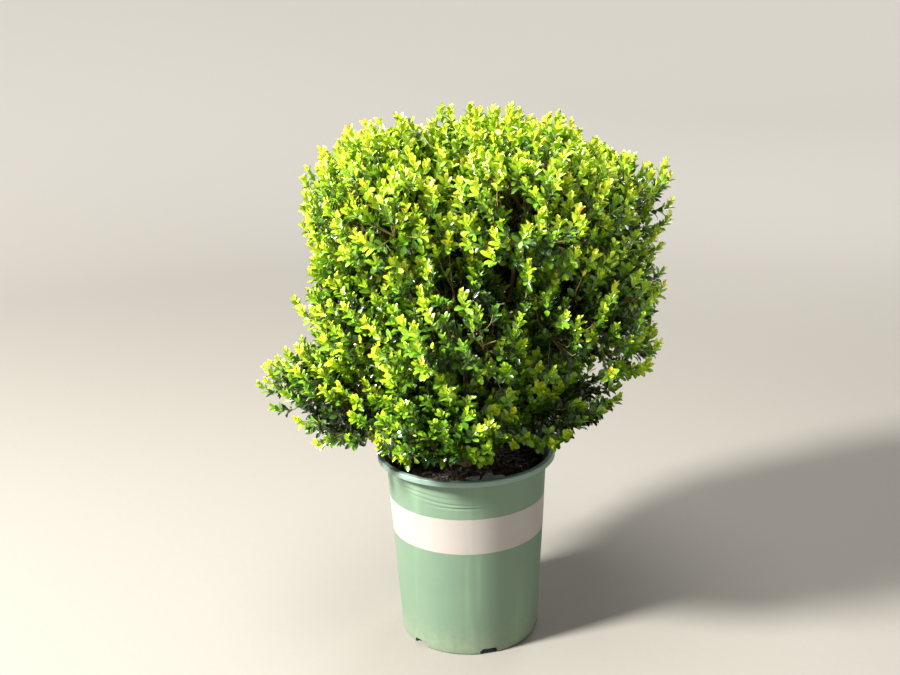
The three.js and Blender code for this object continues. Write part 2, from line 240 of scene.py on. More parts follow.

# %% [markdown]
# Most pieces here are worked out as arrays of points, because thousands of leaves would be slow to
# place one object at a time. A piece rides on the part's one body and names the CAD nodes it stands
# for.

# %% Pieces from points and faces
UP = np.array((0.0, 0.0, 1.0))


def unit(vectors):
    return vectors / np.linalg.norm(vectors, axis=-1, keepdims=True)


def add_mesh(name, points, faces, finishes, worn=None):
    """A piece from its points and its faces. Each face may say which finish it wears."""
    mesh = bpy.data.meshes.new(name)
    mesh.vertices.add(len(points))
    mesh.vertices.foreach_set("co", np.asarray(points, np.float32).ravel())
    corners = faces.shape[1]
    mesh.loops.add(faces.size)
    mesh.loops.foreach_set("vertex_index", faces.astype(np.int32).ravel())
    mesh.polygons.add(len(faces))
    mesh.polygons.foreach_set("loop_start", np.arange(0, faces.size, corners, dtype=np.int32))
    for finish in finishes:
        mesh.materials.append(finish.material)
    if worn is not None:
        mesh.polygons.foreach_set("material_index", worn.astype(np.int32))
    mesh.update(calc_edges=True)
    mesh.shade_smooth()
    return add_object(name, mesh)


def merged(made):
    """Joins points that lie in one place, such as a turned shape's poles."""
    shape = bmesh.new()
    shape.from_mesh(made.data)
    bmesh.ops.remove_doubles(shape, verts=shape.verts, dist=0.01 * MM)
    bmesh.ops.recalc_face_normals(shape, faces=shape.faces)
    shape.to_mesh(made.data)
    shape.free()


def settle(made, slot, *nodes):
    """Puts a piece in the part: its body and the CAD nodes it stands for. The slot is not used."""
    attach(made, ROOT)
    if nodes:
        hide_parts(*nodes)
    triangles = sum(len(face.vertices) - 2 for face in made.data.polygons)
    print(made.name, triangles, "triangles")


print("every piece rides on the body", ROOT)

# %% [markdown]
# The floor, the pot, its band and the ground of the mix are turned shapes: an outline that goes
# once round a standing axis. A Screw modifier could turn a curve. Arrays do it here, because the
# points can then be pushed about before they become a mesh.

# %% Turned shapes


def revolved(profile, segments):
    """Points and four-cornered faces of a turned shape, from pairs of radius and height."""
    turn = np.linspace(0, 2 * math.pi, segments, endpoint=False)
    radius, height = np.array(profile, float).T
    x = np.outer(radius, np.sin(turn))
    y = -np.outer(radius, np.cos(turn))
    z = np.outer(height, np.ones(segments))
    row, column = np.meshgrid(np.arange(len(profile) - 1), np.arange(segments), indexing="ij")
    beside = (column + 1) % segments
    low, high = row * segments, (row + 1) * segments
    faces = np.stack([low + column, low + beside, high + beside, high + column], axis=-1)
    return np.stack([x, y, z], axis=-1).reshape(-1, 3), faces.reshape(-1, 4)


def arc(middle, radius, first, last, count):
    """Points of an arc from one angle to another, in degrees from the outward direction."""
    angles = np.radians(np.linspace(first, last, count))
    return [[middle[0] + radius * math.cos(a), middle[1] + radius * math.sin(a)] for a in angles]


print("a quarter of a ring turns into", len(revolved(arc((1, 0), 1, 0, 90, 5), 16)[1]), "faces")

# %% [markdown]
# The studio is a pale floor that sweeps up all round. A plane would do for the floor, but its
# horizon would show from some side. A strong soft light stands on the left, as the light did in the
# photograph, with a weaker one on the right, one overhead and one behind, so that the leaves keep
# their contrast and no side of the shrub is left dark.

# %% Studio
FLOOR_FLAT, FLOOR_END, FLOOR_RISE = 3.2, 6.5, 4.0
FLOOR_STEPS, FLOOR_SEGMENTS = 24, 96
BACKDROP_GLOW, GLOW_FROM, GLOW_TO = 0.52, 1.2, 5.5
SKY_LIGHT, SKY_COLOUR = 0.14, (0.93, 0.96, 1.0, 1.0)
LIGHT_AIM = Vector((0, 0, 0.5))
LIGHTS = {
    "key": dict(place=(-3.4, -1.65, 3.2), size=0.8, watts=830, tint=(1.0, 0.965, 0.9)),
    "fill": dict(place=(2.3, -1.6, 1.2), size=2.0, watts=4, tint=(0.9, 0.95, 1.0)),
    "overhead": dict(place=(-0.1, -0.4, 3.2), size=1.6, watts=66, tint=(1.0, 0.99, 0.96)),
    "back": dict(place=(1.6, 3.3, 2.6), size=1.8, watts=70, tint=(1.0, 0.98, 0.95)),
}


def add_floor():
    profile = [[0.0, 0.0], [FLOOR_FLAT, 0.0]]
    for a in np.linspace(0, math.pi / 2, FLOOR_STEPS)[1:]:
        away = FLOOR_FLAT + (FLOOR_END - FLOOR_FLAT) * math.sin(a)
        profile.append([away, FLOOR_RISE * (1 - math.cos(a))])
    plaster = Finish("pale_floor", base_color=linear(0x8C8983), roughness=0.9)
    glow = plaster.steps(plaster.distance(), GLOW_FROM, GLOW_TO)
    plaster.set("Emission Color", plaster.blend(glow, linear(0x000000), linear(0xD9D6D0)))
    plaster.set("Emission Strength", BACKDROP_GLOW)
    plaster.bumps(plaster.noise(scale=60), depth=0.4 * MM)
    add_mesh("floor", *revolved(profile, FLOOR_SEGMENTS), [plaster])


def add_light(name, place, size, watts, tint):
    """A round soft light that looks at the middle of the plant."""
    data = bpy.data.lights.new(name, "AREA")
    data.shape = "DISK"
    data.size = size
    data.energy = watts
    data.color = tint
    lamp = add_object(name, data)
    lamp.location = place
    lamp.rotation_mode = "QUATERNION"
    lamp.rotation_quaternion = (LIGHT_AIM - lamp.location).to_track_quat("-Z", "Y")
    lamp.visible_camera = False


def add_sky():
    world = bpy.data.worlds.new("soft_sky")
    world.use_nodes = True
    sky = world.node_tree.nodes["Background"]
    sky.inputs["Color"].default_value = SKY_COLOUR
    sky.inputs["Strength"].default_value = SKY_LIGHT
    bpy.context.scene.world = world
    bpy.context.scene.view_settings.view_transform = "Standard"


add_floor()
for name, says in LIGHTS.items():
    add_light(name, **says)
add_sky()
print("floor", round(2 * FLOOR_END, 1), "m across,", len(LIGHTS), "soft lights")

# %% [markdown]
# The pot is moulded in green plastic: a tapered wall a few millimetres thick with a rolled lip. It
# could be a cone with a Solidify modifier, but the lip and the rounded foot would be missing. So its
# whole outline is drawn, up the outside and down the inside. Rows stand close together high on the
# wall, where it has creases.

# %% Pot outline
POT_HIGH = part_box("pot")[1]
POT_HEIGHT, LIP_RADIUS = POT_HIGH.z, POT_HIGH.x
POT_FOOT, POT_TOP, UNDERSIDE_RING = 110 * MM, 127 * MM, 66 * MM
POT_WALL, FLOOR_THICK = 2.6 * MM, 3 * MM
LIP_WIDTH, LIP_DEPTH = 9 * MM, 9 * MM
LIP_INNER = LIP_RADIUS - LIP_WIDTH
FOOT_ROUND, LIP_FILLET = 3 * MM, 4 * MM
LIP_LOW_ROUND, LIP_TOP_ROUND, LIP_IN_ROUND = 1.6 * MM, 2.2 * MM, 2 * MM
WALL_FROM, WALL_STEP = 8 * MM, 9 * MM
CREASES_FROM, CREASES_STEP, CREASES_CLEAR = 244 * MM, 1.1 * MM, 5 * MM
LINING_TOP, LINING_FROM, LINING_STEP = POT_HEIGHT - 14 * MM, POT_HEIGHT - 24 * MM, 40 * MM


def wall_radius(height):
    return POT_FOOT + (POT_TOP - POT_FOOT) * height / POT_HEIGHT


def pot_outside():
    """The outline from the middle of the underside up to the top of the lip."""
    lip_bottom = POT_HEIGHT - LIP_DEPTH
    line = [[0, 0], [UNDERSIDE_RING, 0], [POT_FOOT - 2 * FOOT_ROUND, 0]]
    line += arc((wall_radius(FOOT_ROUND) - FOOT_ROUND, FOOT_ROUND), FOOT_ROUND, -90, 0, 6)
    plain = np.arange(WALL_FROM, CREASES_FROM, WALL_STEP)
    creased = np.arange(CREASES_FROM, lip_bottom - CREASES_CLEAR, CREASES_STEP)
    line += [[wall_radius(height), height] for height in np.concatenate([plain, creased])]
    under_lip = wall_radius(lip_bottom) + LIP_FILLET
    for a in np.linspace(0.1, math.pi / 2, 5):
        rise = lip_bottom - LIP_FILLET + LIP_FILLET * math.sin(a)
        line.append([under_lip - LIP_FILLET * math.cos(a), rise])
    low, top = LIP_LOW_ROUND, LIP_TOP_ROUND
    line += arc((LIP_RADIUS - low, lip_bottom + low), low, -90, 0, 5)
    return line + arc((LIP_RADIUS - top, POT_HEIGHT - top), top, 8, 90, 6)


def pot_inside():
    """The outline from the top of the lip down to the middle of the floor."""
    line = arc((LIP_INNER + LIP_IN_ROUND, POT_HEIGHT - LIP_IN_ROUND), LIP_IN_ROUND, 90, 180, 6)
    rows = [LINING_TOP, *np.arange(LINING_FROM, FLOOR_THICK, -LINING_STEP), FLOOR_THICK]
    return line + [[wall_radius(height) - POT_WALL, height] for height in rows] + [[0, FLOOR_THICK]]


outside, inside = pot_outside(), pot_inside()
print("pot", round(POT_HEIGHT / MM), "mm tall, outline of", len(outside + inside), "points")

# %% [markdown]
# A moulded wall isn't perfectly round. It is slightly oval, a few creases run round under the lip on
# the left, a short one lies below the band, and the mould left a seam in front and behind.
# A bump in the finish would show none of this on the outline, so the points of the wall themselves
# are pushed in and out.

# %% Dents and creases
OVAL, OVAL_TURN = 0.35 * MM, 40
RIPPLE, RIPPLES_ROUND, RIPPLES_UP = 0.2 * MM, 5, 40
CREASES = [
    dict(height=252 * MM, middle=-8, spread=17, slope=-0.10 * MM, depth=1.3 * MM),
    dict(height=260 * MM, middle=-22, spread=22, slope=-0.16 * MM, depth=1.0 * MM),
    dict(height=270 * MM, middle=-38, spread=26, slope=-0.12 * MM, depth=0.9 * MM),
    dict(height=141 * MM, middle=-14, spread=6, slope=0.02 * MM, depth=0.5 * MM),
]
CREASE_WIDTH, CREASE_WAVE, CREASE_WAVES = 1.5 * MM, 0.8 * MM, 7
CREASE_LIP, CREASE_LIP_PROUD = 1.2, 0.5
SEAMS, SEAM_PROUD, SEAM_WIDTH = (2, -178), 0.12 * MM, 1.2
FLAT_UNDERSIDE = POT_FOOT * 0.9


def dented(points):
    """The points of a turned wall, pushed in and out. Angles are in degrees from the front."""
    azimuth = np.degrees(np.arctan2(points[:, 0], -points[:, 1]))
    height = points[:, 2]
    radius = np.hypot(points[:, 0], points[:, 1])
    rise = np.clip(height / POT_HEIGHT, 0, 1)
    push = OVAL * np.sin(np.radians(2 * azimuth + OVAL_TURN)) * rise
    push += RIPPLE * np.sin(np.radians(RIPPLES_ROUND * azimuth) + height * RIPPLES_UP)
    wave = CREASE_WAVE * np.sin(np.radians(azimuth * CREASE_WAVES))
    for crease in CREASES:
        aside = azimuth - crease["middle"]
        across = (height - (crease["height"] + crease["slope"] * aside + wave)) / CREASE_WIDTH
        fold = np.exp(-((across - CREASE_LIP) ** 2)) * CREASE_LIP_PROUD - np.exp(-(across**2))
        push += crease["depth"] * fold * np.exp(-((aside / crease["spread"]) ** 2))
    for seam in SEAMS:
        aside = (azimuth - seam + 180) % 360 - 180
        push += SEAM_PROUD * np.exp(-((aside / SEAM_WIDTH) ** 2))
    push *= radius > FLAT_UNDERSIDE
    out = points.copy()
    out[:, :2] *= (1 + push / np.maximum(radius, MM))[:, None]
    return out


print(len(CREASES), "creases, the deepest", round(CREASES[0]["depth"] / MM, 1), "mm")

# %% [markdown]
# Six notches in the foot let water out. They could be drawn into the wall's faces, but a Boolean
# cuts them cleanly through wall and floor at once: rounded blocks are set round the foot, joined
# into one cutter, and taken away from the pot.

# %% Drainage notches
NOTCHES, FIRST_NOTCH = 6, 14
NOTCH_WIDTH, NOTCH_HEIGHT, NOTCH_ROUND = 28 * MM, 9 * MM, 2.5 * MM
CUTTER_THROUGH = 30 * MM


def notch_cutter(azimuth):
    """A block with rounded upright edges that cuts one notch from the foot."""
    shape = bmesh.new()
    bmesh.ops.create_cube(shape, size=1)
    size = (NOTCH_WIDTH, CUTTER_THROUGH, 2 * NOTCH_HEIGHT)
    bmesh.ops.scale(shape, verts=shape.verts, vec=size)
    inward = [e for e in shape.edges if abs((e.verts[0].co - e.verts[1].co).y) > MM]
    bmesh.ops.bevel(shape, geom=inward, offset=NOTCH_ROUND, segments=4, affect="EDGES")
    bmesh.ops.translate(shape, verts=shape.verts, vec=(0, -POT_FOOT, 0))
    turn = Matrix.Rotation(math.radians(azimuth), 3, "Z")
    bmesh.ops.rotate(shape, verts=shape.verts, matrix=turn)
    return shape


def cut_away(made, cutters):
    """Cuts several closed shapes out of a piece."""
    mesh = bpy.data.meshes.new("cutter")
    whole = bmesh.new()
    for shape in cutters:
        shape.to_mesh(mesh)
        whole.from_mesh(mesh)
        shape.free()
    whole.to_mesh(mesh)
    whole.free()
    cutter = add_object("cutter", mesh)
    boolean = made.modifiers.new("notches", "BOOLEAN")
    boolean.object = cutter
    boolean.operation = "DIFFERENCE"
    boolean.solver = "EXACT"
    bpy.context.view_layer.update()
    depsgraph = bpy.context.evaluated_depsgraph_get()
    cut = bpy.data.meshes.new_from_object(made.evaluated_get(depsgraph))
    made.modifiers.clear()
    made.data = cut
    bpy.data.objects.remove(cutter)


print(NOTCHES, "notches,", round(NOTCH_WIDTH / MM), "mm wide")

# %% [markdown]
# The plastic is dull and faintly dappled, with pale streaks that run up it, scuffs, dust near the
# ground and a greyer lip, darkened further as painted shade from the crown. One colour would look
# like a toy, so each of these is a mask of noise or height that lays one more colour over the green.
# The inside is nearly black, in darker and paler patches.

# %% Pot shell
POT_SEGMENTS, GREEN_LIP_ROWS = 160, 4
SHARP_ANGLE = math.radians(38)
LIP_GREY_SHADE_FROM, LIP_GREY_SHADE_TO = POT_HEIGHT - 10 * MM, POT_HEIGHT - 7 * MM
DUST_HEIGHT = 90 * MM


def pot_plastic():
    plastic = Finish("green_pot_plastic")
    height = plastic.height()
    dapple = plastic.noise(scale=9, detail=4)
    green = plastic.blend(dapple, linear(0x5E7763), linear(0x6F8671))
    streaks = plastic.steps(plastic.noise(scale=30, stretch=(1, 1, 0.06)), 0.56, 0.8)
    green = plastic.blend(streaks * 0.35, green, linear(0x86A886))
    scratches = plastic.noise(scale=55, detail=5, stretch=(1, 1, 14), roughness=0.7)
    scuffed = plastic.steps(plastic.noise(scale=14, detail=2), 0.5, 0.62)
    scuffs = plastic.steps(scratches, 0.68, 0.74) * scuffed
    green = plastic.blend(scuffs * 0.5, green, linear(0xA9C3A6))
    # The lip is greyer plastic, darkened further as painted shade from the crown.
    lip = plastic.steps(height, LIP_GREY_SHADE_FROM, LIP_GREY_SHADE_TO)
    lip_grey_and_shade = lip * (0.5 + 0.3 * plastic.noise(scale=40, detail=4))
    green = plastic.blend(lip_grey_and_shade, green, linear(0x7F9792))
    low = 1 - plastic.steps(height, 0, DUST_HEIGHT)
    splash = plastic.noise(scale=110, detail=6)
    dust = plastic.steps(low * 0.4 + splash * 0.8, 0.5, 1.05)
    plastic.set("Base Color", plastic.blend(dust * 0.5, green, linear(0x8E9079)))
    plastic.set("Roughness", 0.42 + 0.2 * plastic.noise(scale=16) + dust * 0.2)
    plastic.bumps(plastic.noise(scale=420, detail=2), depth=0.12 * MM, strength=0.8)
    return plastic


def pot_lining():
    lining = Finish("dark_pot_lining", roughness=0.55)
    lining_patches = lining.noise(scale=40, detail=4)
    lining.set("Base Color", lining.blend(lining_patches, linear(0x1C211E), linear(0x2E3832)))
    lining.bumps(lining.noise(scale=300, detail=2), depth=0.15 * MM)
    return lining


pot_points, pot_faces = revolved(outside + inside, POT_SEGMENTS)
lined = np.arange(len(pot_faces)) >= (len(outside) + GREEN_LIP_ROWS) * POT_SEGMENTS
pot_finishes = [pot_plastic(), pot_lining()]
pot_shell = add_mesh("pot_shell", dented(pot_points), pot_faces, pot_finishes, lined)
merged(pot_shell)
cut_away(pot_shell, [notch_cutter(FIRST_NOTCH + 360 * k / NOTCHES) for k in range(NOTCHES)])
pot_shell.data.set_sharp_from_angle(angle=SHARP_ANGLE)
settle(pot_shell, "pot", "pot")

# %% [markdown]
# A bare cream band is printed round the pot above its middle. It is ink, so it follows every dent
# of the wall and stands proud by the thickness of paper. A stripe in the plastic's finish could
# stand for it, but the band is a part of its own. So it is a thin sleeve, made from the same
# outline and pushed by the same unevenness, with two edges as ragged as the edge of a print.

# %% Printed band
BAND_LOW, BAND_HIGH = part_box("band")
BAND_ROWS, BAND_SEGMENTS = 5, 3 * POT_SEGMENTS
INK_PROUD, INK_DEEP = 0.12 * MM, 0.5 * MM
RAGGED, RAGGED_WAVES = 0.18 * MM, (61, 23, 151)


def band_ink():
    """Cream ink, rubbed through to the green in places and yellowed by dust."""
    ink = Finish("cream_ink")
    cream = ink.blend(ink.noise(scale=7, detail=4), linear(0xA8A3A0), linear(0x9E9894))
    scratches = ink.noise(scale=120, detail=6, stretch=(1, 1, 3), roughness=0.7)
    handled = ink.steps(ink.noise(scale=11, detail=2), 0.5, 0.64)
    rubbed = ink.steps(scratches, 0.66, 0.72) * handled
    cream = ink.blend(rubbed * 0.7, cream, linear(0x8FAE8C))
    grime = ink.steps(ink.noise(scale=26, detail=5), 0.52, 0.8)
    ink.set("Base Color", ink.blend(grime * 0.3, cream, linear(0x91897E)))
    ink.set("Roughness", 0.42 + 0.25 * ink.noise(scale=30))
    ink.bumps(ink.noise(scale=500, detail=2), depth=0.08 * MM)
    return ink


def band_sleeve():
    """The band's points and faces: a closed outline turned once round, with ragged edges."""
    heights = np.linspace(BAND_LOW.z, BAND_HIGH.z, BAND_ROWS)
    outline = [[wall_radius(h) + INK_PROUD, h] for h in heights]
    outline += [[wall_radius(h) - INK_DEEP, h] for h in heights[::-1]]
    points, faces = revolved(outline + outline[:1], BAND_SEGMENTS)
    turn = np.arctan2(points[:, 0], points[:, 1])
    swift, slow, fine = RAGGED_WAVES
    ragged = RAGGED * (np.sin(turn * swift) * np.sin(turn * slow + 1) + 0.5 * np.sin(turn * fine))
    from_edges = np.abs(points[:, 2:] - (BAND_LOW.z, BAND_HIGH.z))
    points[:, 2] += ragged * (from_edges.min(1) < MM / 2)
    return dented(points), faces


printed_band = add_mesh("printed_band", *band_sleeve(), [band_ink()])
merged(printed_band)
printed_band.data.set_sharp_from_angle(angle=SHARP_ANGLE)
settle(printed_band, "band", "band")

# %% [markdown]
# The pot is filled with composted bark. Its surface is uneven and nearly black, and it sinks a
# little towards the wall. A Displace modifier could roughen a disc, but the flakes and stones need
# to know the ground's height where they lie. So the height is a function of the place, a sum of
# waves in all directions, and the ground is a disc lifted by it.

# %% Ground of the mix
SOIL_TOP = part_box("potting_mix")[1].z
SOIL_SINK, SOIL_EDGE_DROP, SOIL_FLAT = 2.5 * MM, 6 * MM, 45 * MM
SOIL_RADIUS = wall_radius(SOIL_TOP) - POT_WALL - 0.3 * MM
SOIL_WAVES = [(1.8 * MM, 45 * MM), (1.1 * MM, 15 * MM), (0.7 * MM, 6 * MM)]
SOIL_RINGS, SOIL_SPOKES = 52, 120
SOIL_DEPTH, POLE = 40 * MM, 0.001 * MM
WAVE_SPREAD, WAVE_HEIGHT = (0.6, 1.5), 0.8


def rolling(points, wavelength, seed, waves=9):
    """Smooth unevenness, mostly from -1 to 1, at each point: waves that run in all directions."""
    rng = np.random.default_rng(seed)
    ways = unit(rng.normal(size=(waves, 3))) * (2 * math.pi / wavelength)
    ways = ways * rng.uniform(*WAVE_SPREAD, (waves, 1))
    phases = rng.uniform(0, 2 * math.pi, waves)
    return np.sin(points @ ways.T + phases).sum(1) / math.sqrt(waves) * WAVE_HEIGHT


def soil_height(x, y):
    spots = np.stack([x, y, np.zeros_like(x)], axis=-1).reshape(-1, 3)
    away = np.hypot(spots[:, 0], spots[:, 1])
    fall = SOIL_EDGE_DROP * np.clip((away - SOIL_FLAT) / (SOIL_RADIUS - SOIL_FLAT), 0, 1)
    rough = sum(
        height * rolling(spots, wavelength, seed)
        for seed, (height, wavelength) in enumerate(SOIL_WAVES, start=1)
    )
    return (SOIL_TOP - SOIL_SINK - fall + rough).reshape(np.shape(x))


def soil_finish():
    soil = Finish("dark_potting_mix", roughness=0.95)
    crumbs = soil.noise(scale=160, detail=6)
    dark = soil.ramp(crumbs, (0.3, 0x0E0C0A), (0.5, 0x1B1714), (0.68, 0x322A23), (0.8, 0x5C5348))
    soil.set("Base Color", dark)
    soil.bumps(soil.noise(scale=260, detail=6) + crumbs, depth=1.2 * MM)
    return soil


def soil_surface():
    """A disc of rings lifted by the height of the ground, with a side and an underside."""
    profile = [[POLE + SOIL_RADIUS * k / SOIL_RINGS, 0] for k in range(SOIL_RINGS + 1)]
    profile += [[SOIL_RADIUS, -SOIL_DEPTH], [POLE, -SOIL_DEPTH]]
    points, faces = revolved(profile, SOIL_SPOKES)
    top = points[:, 2] == 0
    points[:, 2] += np.where(top, soil_height(points[:, 0], points[:, 1]), SOIL_TOP)
    return points, faces[:, ::-1]


potting_mix = add_mesh("potting_mix_surface", *soil_surface(), [soil_finish()])
merged(potting_mix)
settle(potting_mix, "potting_mix", "potting_mix")

# %% [markdown]
# Flakes of bark lie all over the mix, with a few grey stones near the front and pale grit. Blender
# could scatter copies with a particle system, but copies would all be alike. Here every flake and
# stone gets its own corners, size and turn, and is laid on the ground where it is, so that nothing
# floats. All of one kind are one mesh.

# %% Many small solids
MIDDLE_FREE = 0.02


def scattered(count, seed, reach):
    """Places on the ground, spread evenly over a disc, with a random generator to go on from."""
    rng = np.random.default_rng(seed)
    away = np.sqrt(rng.uniform(MIDDLE_FREE, 1, count)) * reach
    turn = rng.uniform(0, 2 * math.pi, count)
    x, y = away * np.sin(turn), -away * np.cos(turn)
    return rng, np.stack([x, y, soil_height(x, y)], axis=-1)


def turned_about(axis_turns):
    """Rotation matrices from rows of three angles, about X, then Y, then Z."""
    made = np.empty((len(axis_turns), 3, 3))
    for k, (a, b, c) in enumerate(axis_turns):
        x, y, z = Matrix.Rotation(a, 3, "X"), Matrix.Rotation(b, 3, "Y"), Matrix.Rotation(c, 3, "Z")
        made[k] = z @ y @ x
    return made


def copies(shapes, faces, frames, places, sizes):
    """Small shapes, turned by their frames, scaled and put in place, as one array of points."""
    points = np.einsum("nij,nkj->nki", frames, shapes * sizes[:, None, :]) + places[:, None, :]
    starts = (np.arange(len(places)) * shapes.shape[-2])[:, None, None]
    return points.reshape(-1, 3), (faces[None] + starts).reshape(-1, faces.shape[1])


def mottled(name, dark, pale, roughness):
    """A rough natural finish between two colours."""
    finish = Finish(name, roughness=roughness)
    patches = finish.noise(scale=90, detail=5)
    finish.set("Base Color", finish.blend(patches, linear(dark), linear(pale)))
    finish.bumps(finish.noise(scale=270, detail=4), depth=0.4 * MM)
    return finish


print("the mix fills", round(2 * SOIL_RADIUS / MM), "mm of the pot's width")

# %% [markdown]
# A flake is a slip with six uneven corners on each side, about 6 mm long and lying nearly flat. The
# newest flakes are brown, wet ones nearly black and old ones grey, so there are three kinds.

# %% Bark flakes
FLAKES = {
    "bark_flakes_dark": dict(count=900, seed=11, dark=0x14110E, pale=0x362B21),
    "bark_flakes_brown": dict(count=380, seed=12, dark=0x2A2019, pale=0x5C4836),
    "bark_flakes_grey": dict(count=220, seed=13, dark=0x45413B, pale=0x888278),
}
FLAKE_SIZES = [(3, 10), (1.6, 4.5), (1.2, 3)]
FLAKE_RING = [(-1, -0.5), (-0.5, -1), (0.6, -0.8), (1, 0.2), (0.3, 0.9), (-0.7, 0.7)]
FLAKE_LIDS = [[3, 2, 1, 0], [5, 4, 3, 0], [6, 7, 8, 9], [6, 9, 10, 11]]
FLAKE_UNEVEN, FLAKE_TILT, FLAKE_PROUD = (0.55, 1.25), 0.3, 0.35
ANY_TURN = 6.3


def bark_flakes(count, seed):
    rng, places = scattered(count, seed, SOIL_RADIUS - 6 * MM)
    slip = np.array([(x, y, z) for z in (-0.5, 0.5) for x, y in FLAKE_RING])
    shapes = slip[None] * rng.uniform(*FLAKE_UNEVEN, (count, len(slip), 3))
    sides = [[k, (k + 1) % 6, 6 + (k + 1) % 6, 6 + k] for k in range(6)]
    sizes = np.stack([rng.uniform(*span, count) for span in FLAKE_SIZES], axis=-1) * MM
    tilts = [rng.normal(0, FLAKE_TILT, count) for _ in range(2)]
    turns = np.stack([*tilts, rng.uniform(0, ANY_TURN, count)], -1)
    places[:, 2] += sizes[:, 2] * FLAKE_PROUD
    return copies(shapes, np.array(sides + FLAKE_LIDS), turned_about(turns), places, sizes)


for name, says in FLAKES.items():
    bark = mottled(name + "_finish", says["dark"], says["pale"], roughness=0.9)
    flakes = add_mesh(name, *bark_flakes(says["count"], says["seed"]), [bark])
    flakes.data.shade_flat()
    settle(flakes, "potting_mix")

# %% [markdown]
# Stones in a potting mix are worn, with a few flattish sides. A ball pushed about by noise would
# look like putty. So five random sides are worn into each ball by pulling in what reaches furthest
# towards each of them, and then it is flattened and sunk by more than a third. Grey stones gather
# near the front, and finer pale grit lies all over.

# %% Stones and grit
STONE_SHAPE, STONE_PROUD = np.array((1.25, 0.95, 0.68)), 0.25
STONE_SIDES, WORN_FROM, WORN_DEPTH = 5, 0.72, 0.3
STONE_UNEVEN, STONE_TILT, STONE_MARGIN = (0.8, 1.2), 0.4, 8 * MM
GATHERED, GATHERED_MARGIN = 0.35, 6 * MM
FRONT = np.array((0.03, -0.092))


def round_ball():
    """Points and triangles of a ball of radius one."""
    ball = bmesh.new()
    bmesh.ops.create_icosphere(ball, subdivisions=2, radius=1)
    points = np.array([v.co for v in ball.verts])
    faces = np.array([[v.index for v in f.verts] for f in ball.faces])
    ball.free()
    return points, faces


def stones(count, seed, least, most, towards=None):
    """Stones all over the ground, or gathered round one place on it."""
    rng, places = scattered(count, seed, SOIL_RADIUS - STONE_MARGIN)
    if towards is not None:
        places[:, :2] = places[:, :2] * GATHERED + towards
        away = np.hypot(places[:, 0], places[:, 1])
        places = places[away < SOIL_RADIUS - GATHERED_MARGIN]
        places[:, 2] = soil_height(places[:, 0], places[:, 1])
        count = len(places)
    ball, faces = round_ball()
    sides = unit(rng.normal(size=(count, STONE_SIDES, 3)))
    reach = np.einsum("kj,nfj->nkf", ball, sides).max(-1, keepdims=True)
    worn = np.clip(reach - WORN_FROM, 0, 1) / (1 - WORN_FROM)
    shapes = ball[None] * (1 - WORN_DEPTH * worn)
    sizes = rng.uniform(least, most, (count, 1)) * STONE_SHAPE
    sizes = sizes * rng.uniform(*STONE_UNEVEN, (count, 3))
    turns = rng.uniform(-STONE_TILT, STONE_TILT, (count, 3))
    turns[:, 2] = rng.uniform(0, ANY_TURN, count)
    places[:, 2] += sizes[:, 2] * STONE_PROUD
    return copies(shapes, faces, turned_about(turns), places, sizes)


front_stones = stones(110, 21, 4 * MM, 9.5 * MM, towards=FRONT)
grey = mottled("grey_stone", 0x8A9294, 0xCDD1CE, roughness=0.7)
settle(add_mesh("front_stones", *front_stones, [grey]), "potting_mix")
grit = stones(110, 22, 1.2 * MM, 3.2 * MM)
pale = mottled("pale_stone", 0x8C867B, 0xD0C9BC, roughness=0.8)
settle(add_mesh("pale_grit", *grit, [pale]), "potting_mix")

# %% [markdown]
# No two shrubs are alike, and the part's source shakes its masses of foliage out of their even
# rings by random numbers. Python's own random numbers would give another shrub, so the source's
# rule for them is written again here, with its two small helpers for places.

# %% The source's random numbers
FIRST_FACTOR, DRAW_FACTOR, DRAW_STEP, WORD = 2654435761, 1664525, 1013904223, 2**32


def seeded_draw(seed):
    """The source's own random numbers from 0 to 1."""
    state = (seed + 1) * FIRST_FACTOR % WORD
    while True:
        state = (state * DRAW_FACTOR + DRAW_STEP) % WORD
        yield state / WORD


def around_pot(azimuth, radius, height):
    """A place at an angle in degrees from the front, a radius and a height."""
    turn = math.radians(azimuth)
    return np.array((math.sin(turn) * radius, -math.cos(turn) * radius, height))


def eased(value, low, high):
    """0 under low, 1 over high, and a soft step between them."""
    share = min(max((value - low) / (high - low), 0), 1)
    return share * share * (3 - 2 * share)


CROWN_SEED = 41
print("the source's first draw is", round(next(seeded_draw(CROWN_SEED)), 4))

# %% [markdown]
# The crown is made of masses in rings: a skirt, a waist, shoulders and a top. They could be read off
# the CAD solids, but the rule that placed those is short and says more, so it is written again here
# in metres. The new limbs and leaves follow the old ones exactly.

# %% The source's masses
SHIFT, SHIFT_FROM, SHIFT_TO = 30 * MM, 430 * MM, 520 * MM
PLACE_JITTER, SIZE_JITTER = 7 * MM, 0.05
RINGS = {
    "skirt": dict(count=5, height=404, out=136, wide=118, tall=112, first=-10),
    "waist": dict(count=6, height=556, out=166, wide=136, tall=138, first=-10),
    "shoulder": dict(count=5, height=692, out=156, wide=140, tall=128, first=25),
    "top": dict(count=1, height=726, out=8, wide=120, tall=108, first=60),
}
SPRINGS = {
    "skirt": dict(height=13, step=-3, rise=0.3),
    "waist": dict(height=40, step=10, rise=1),
    "shoulder": dict(height=62, step=6, rise=1.5),
    "top": dict(height=92, step=0, rise=1),
}
LOW_SPRAY = dict(mass="skirt_5", out=196 * MM, tall=84 * MM, lift=16 * MM)
OPEN_MASSES = ("skirt_2", "skirt_5")


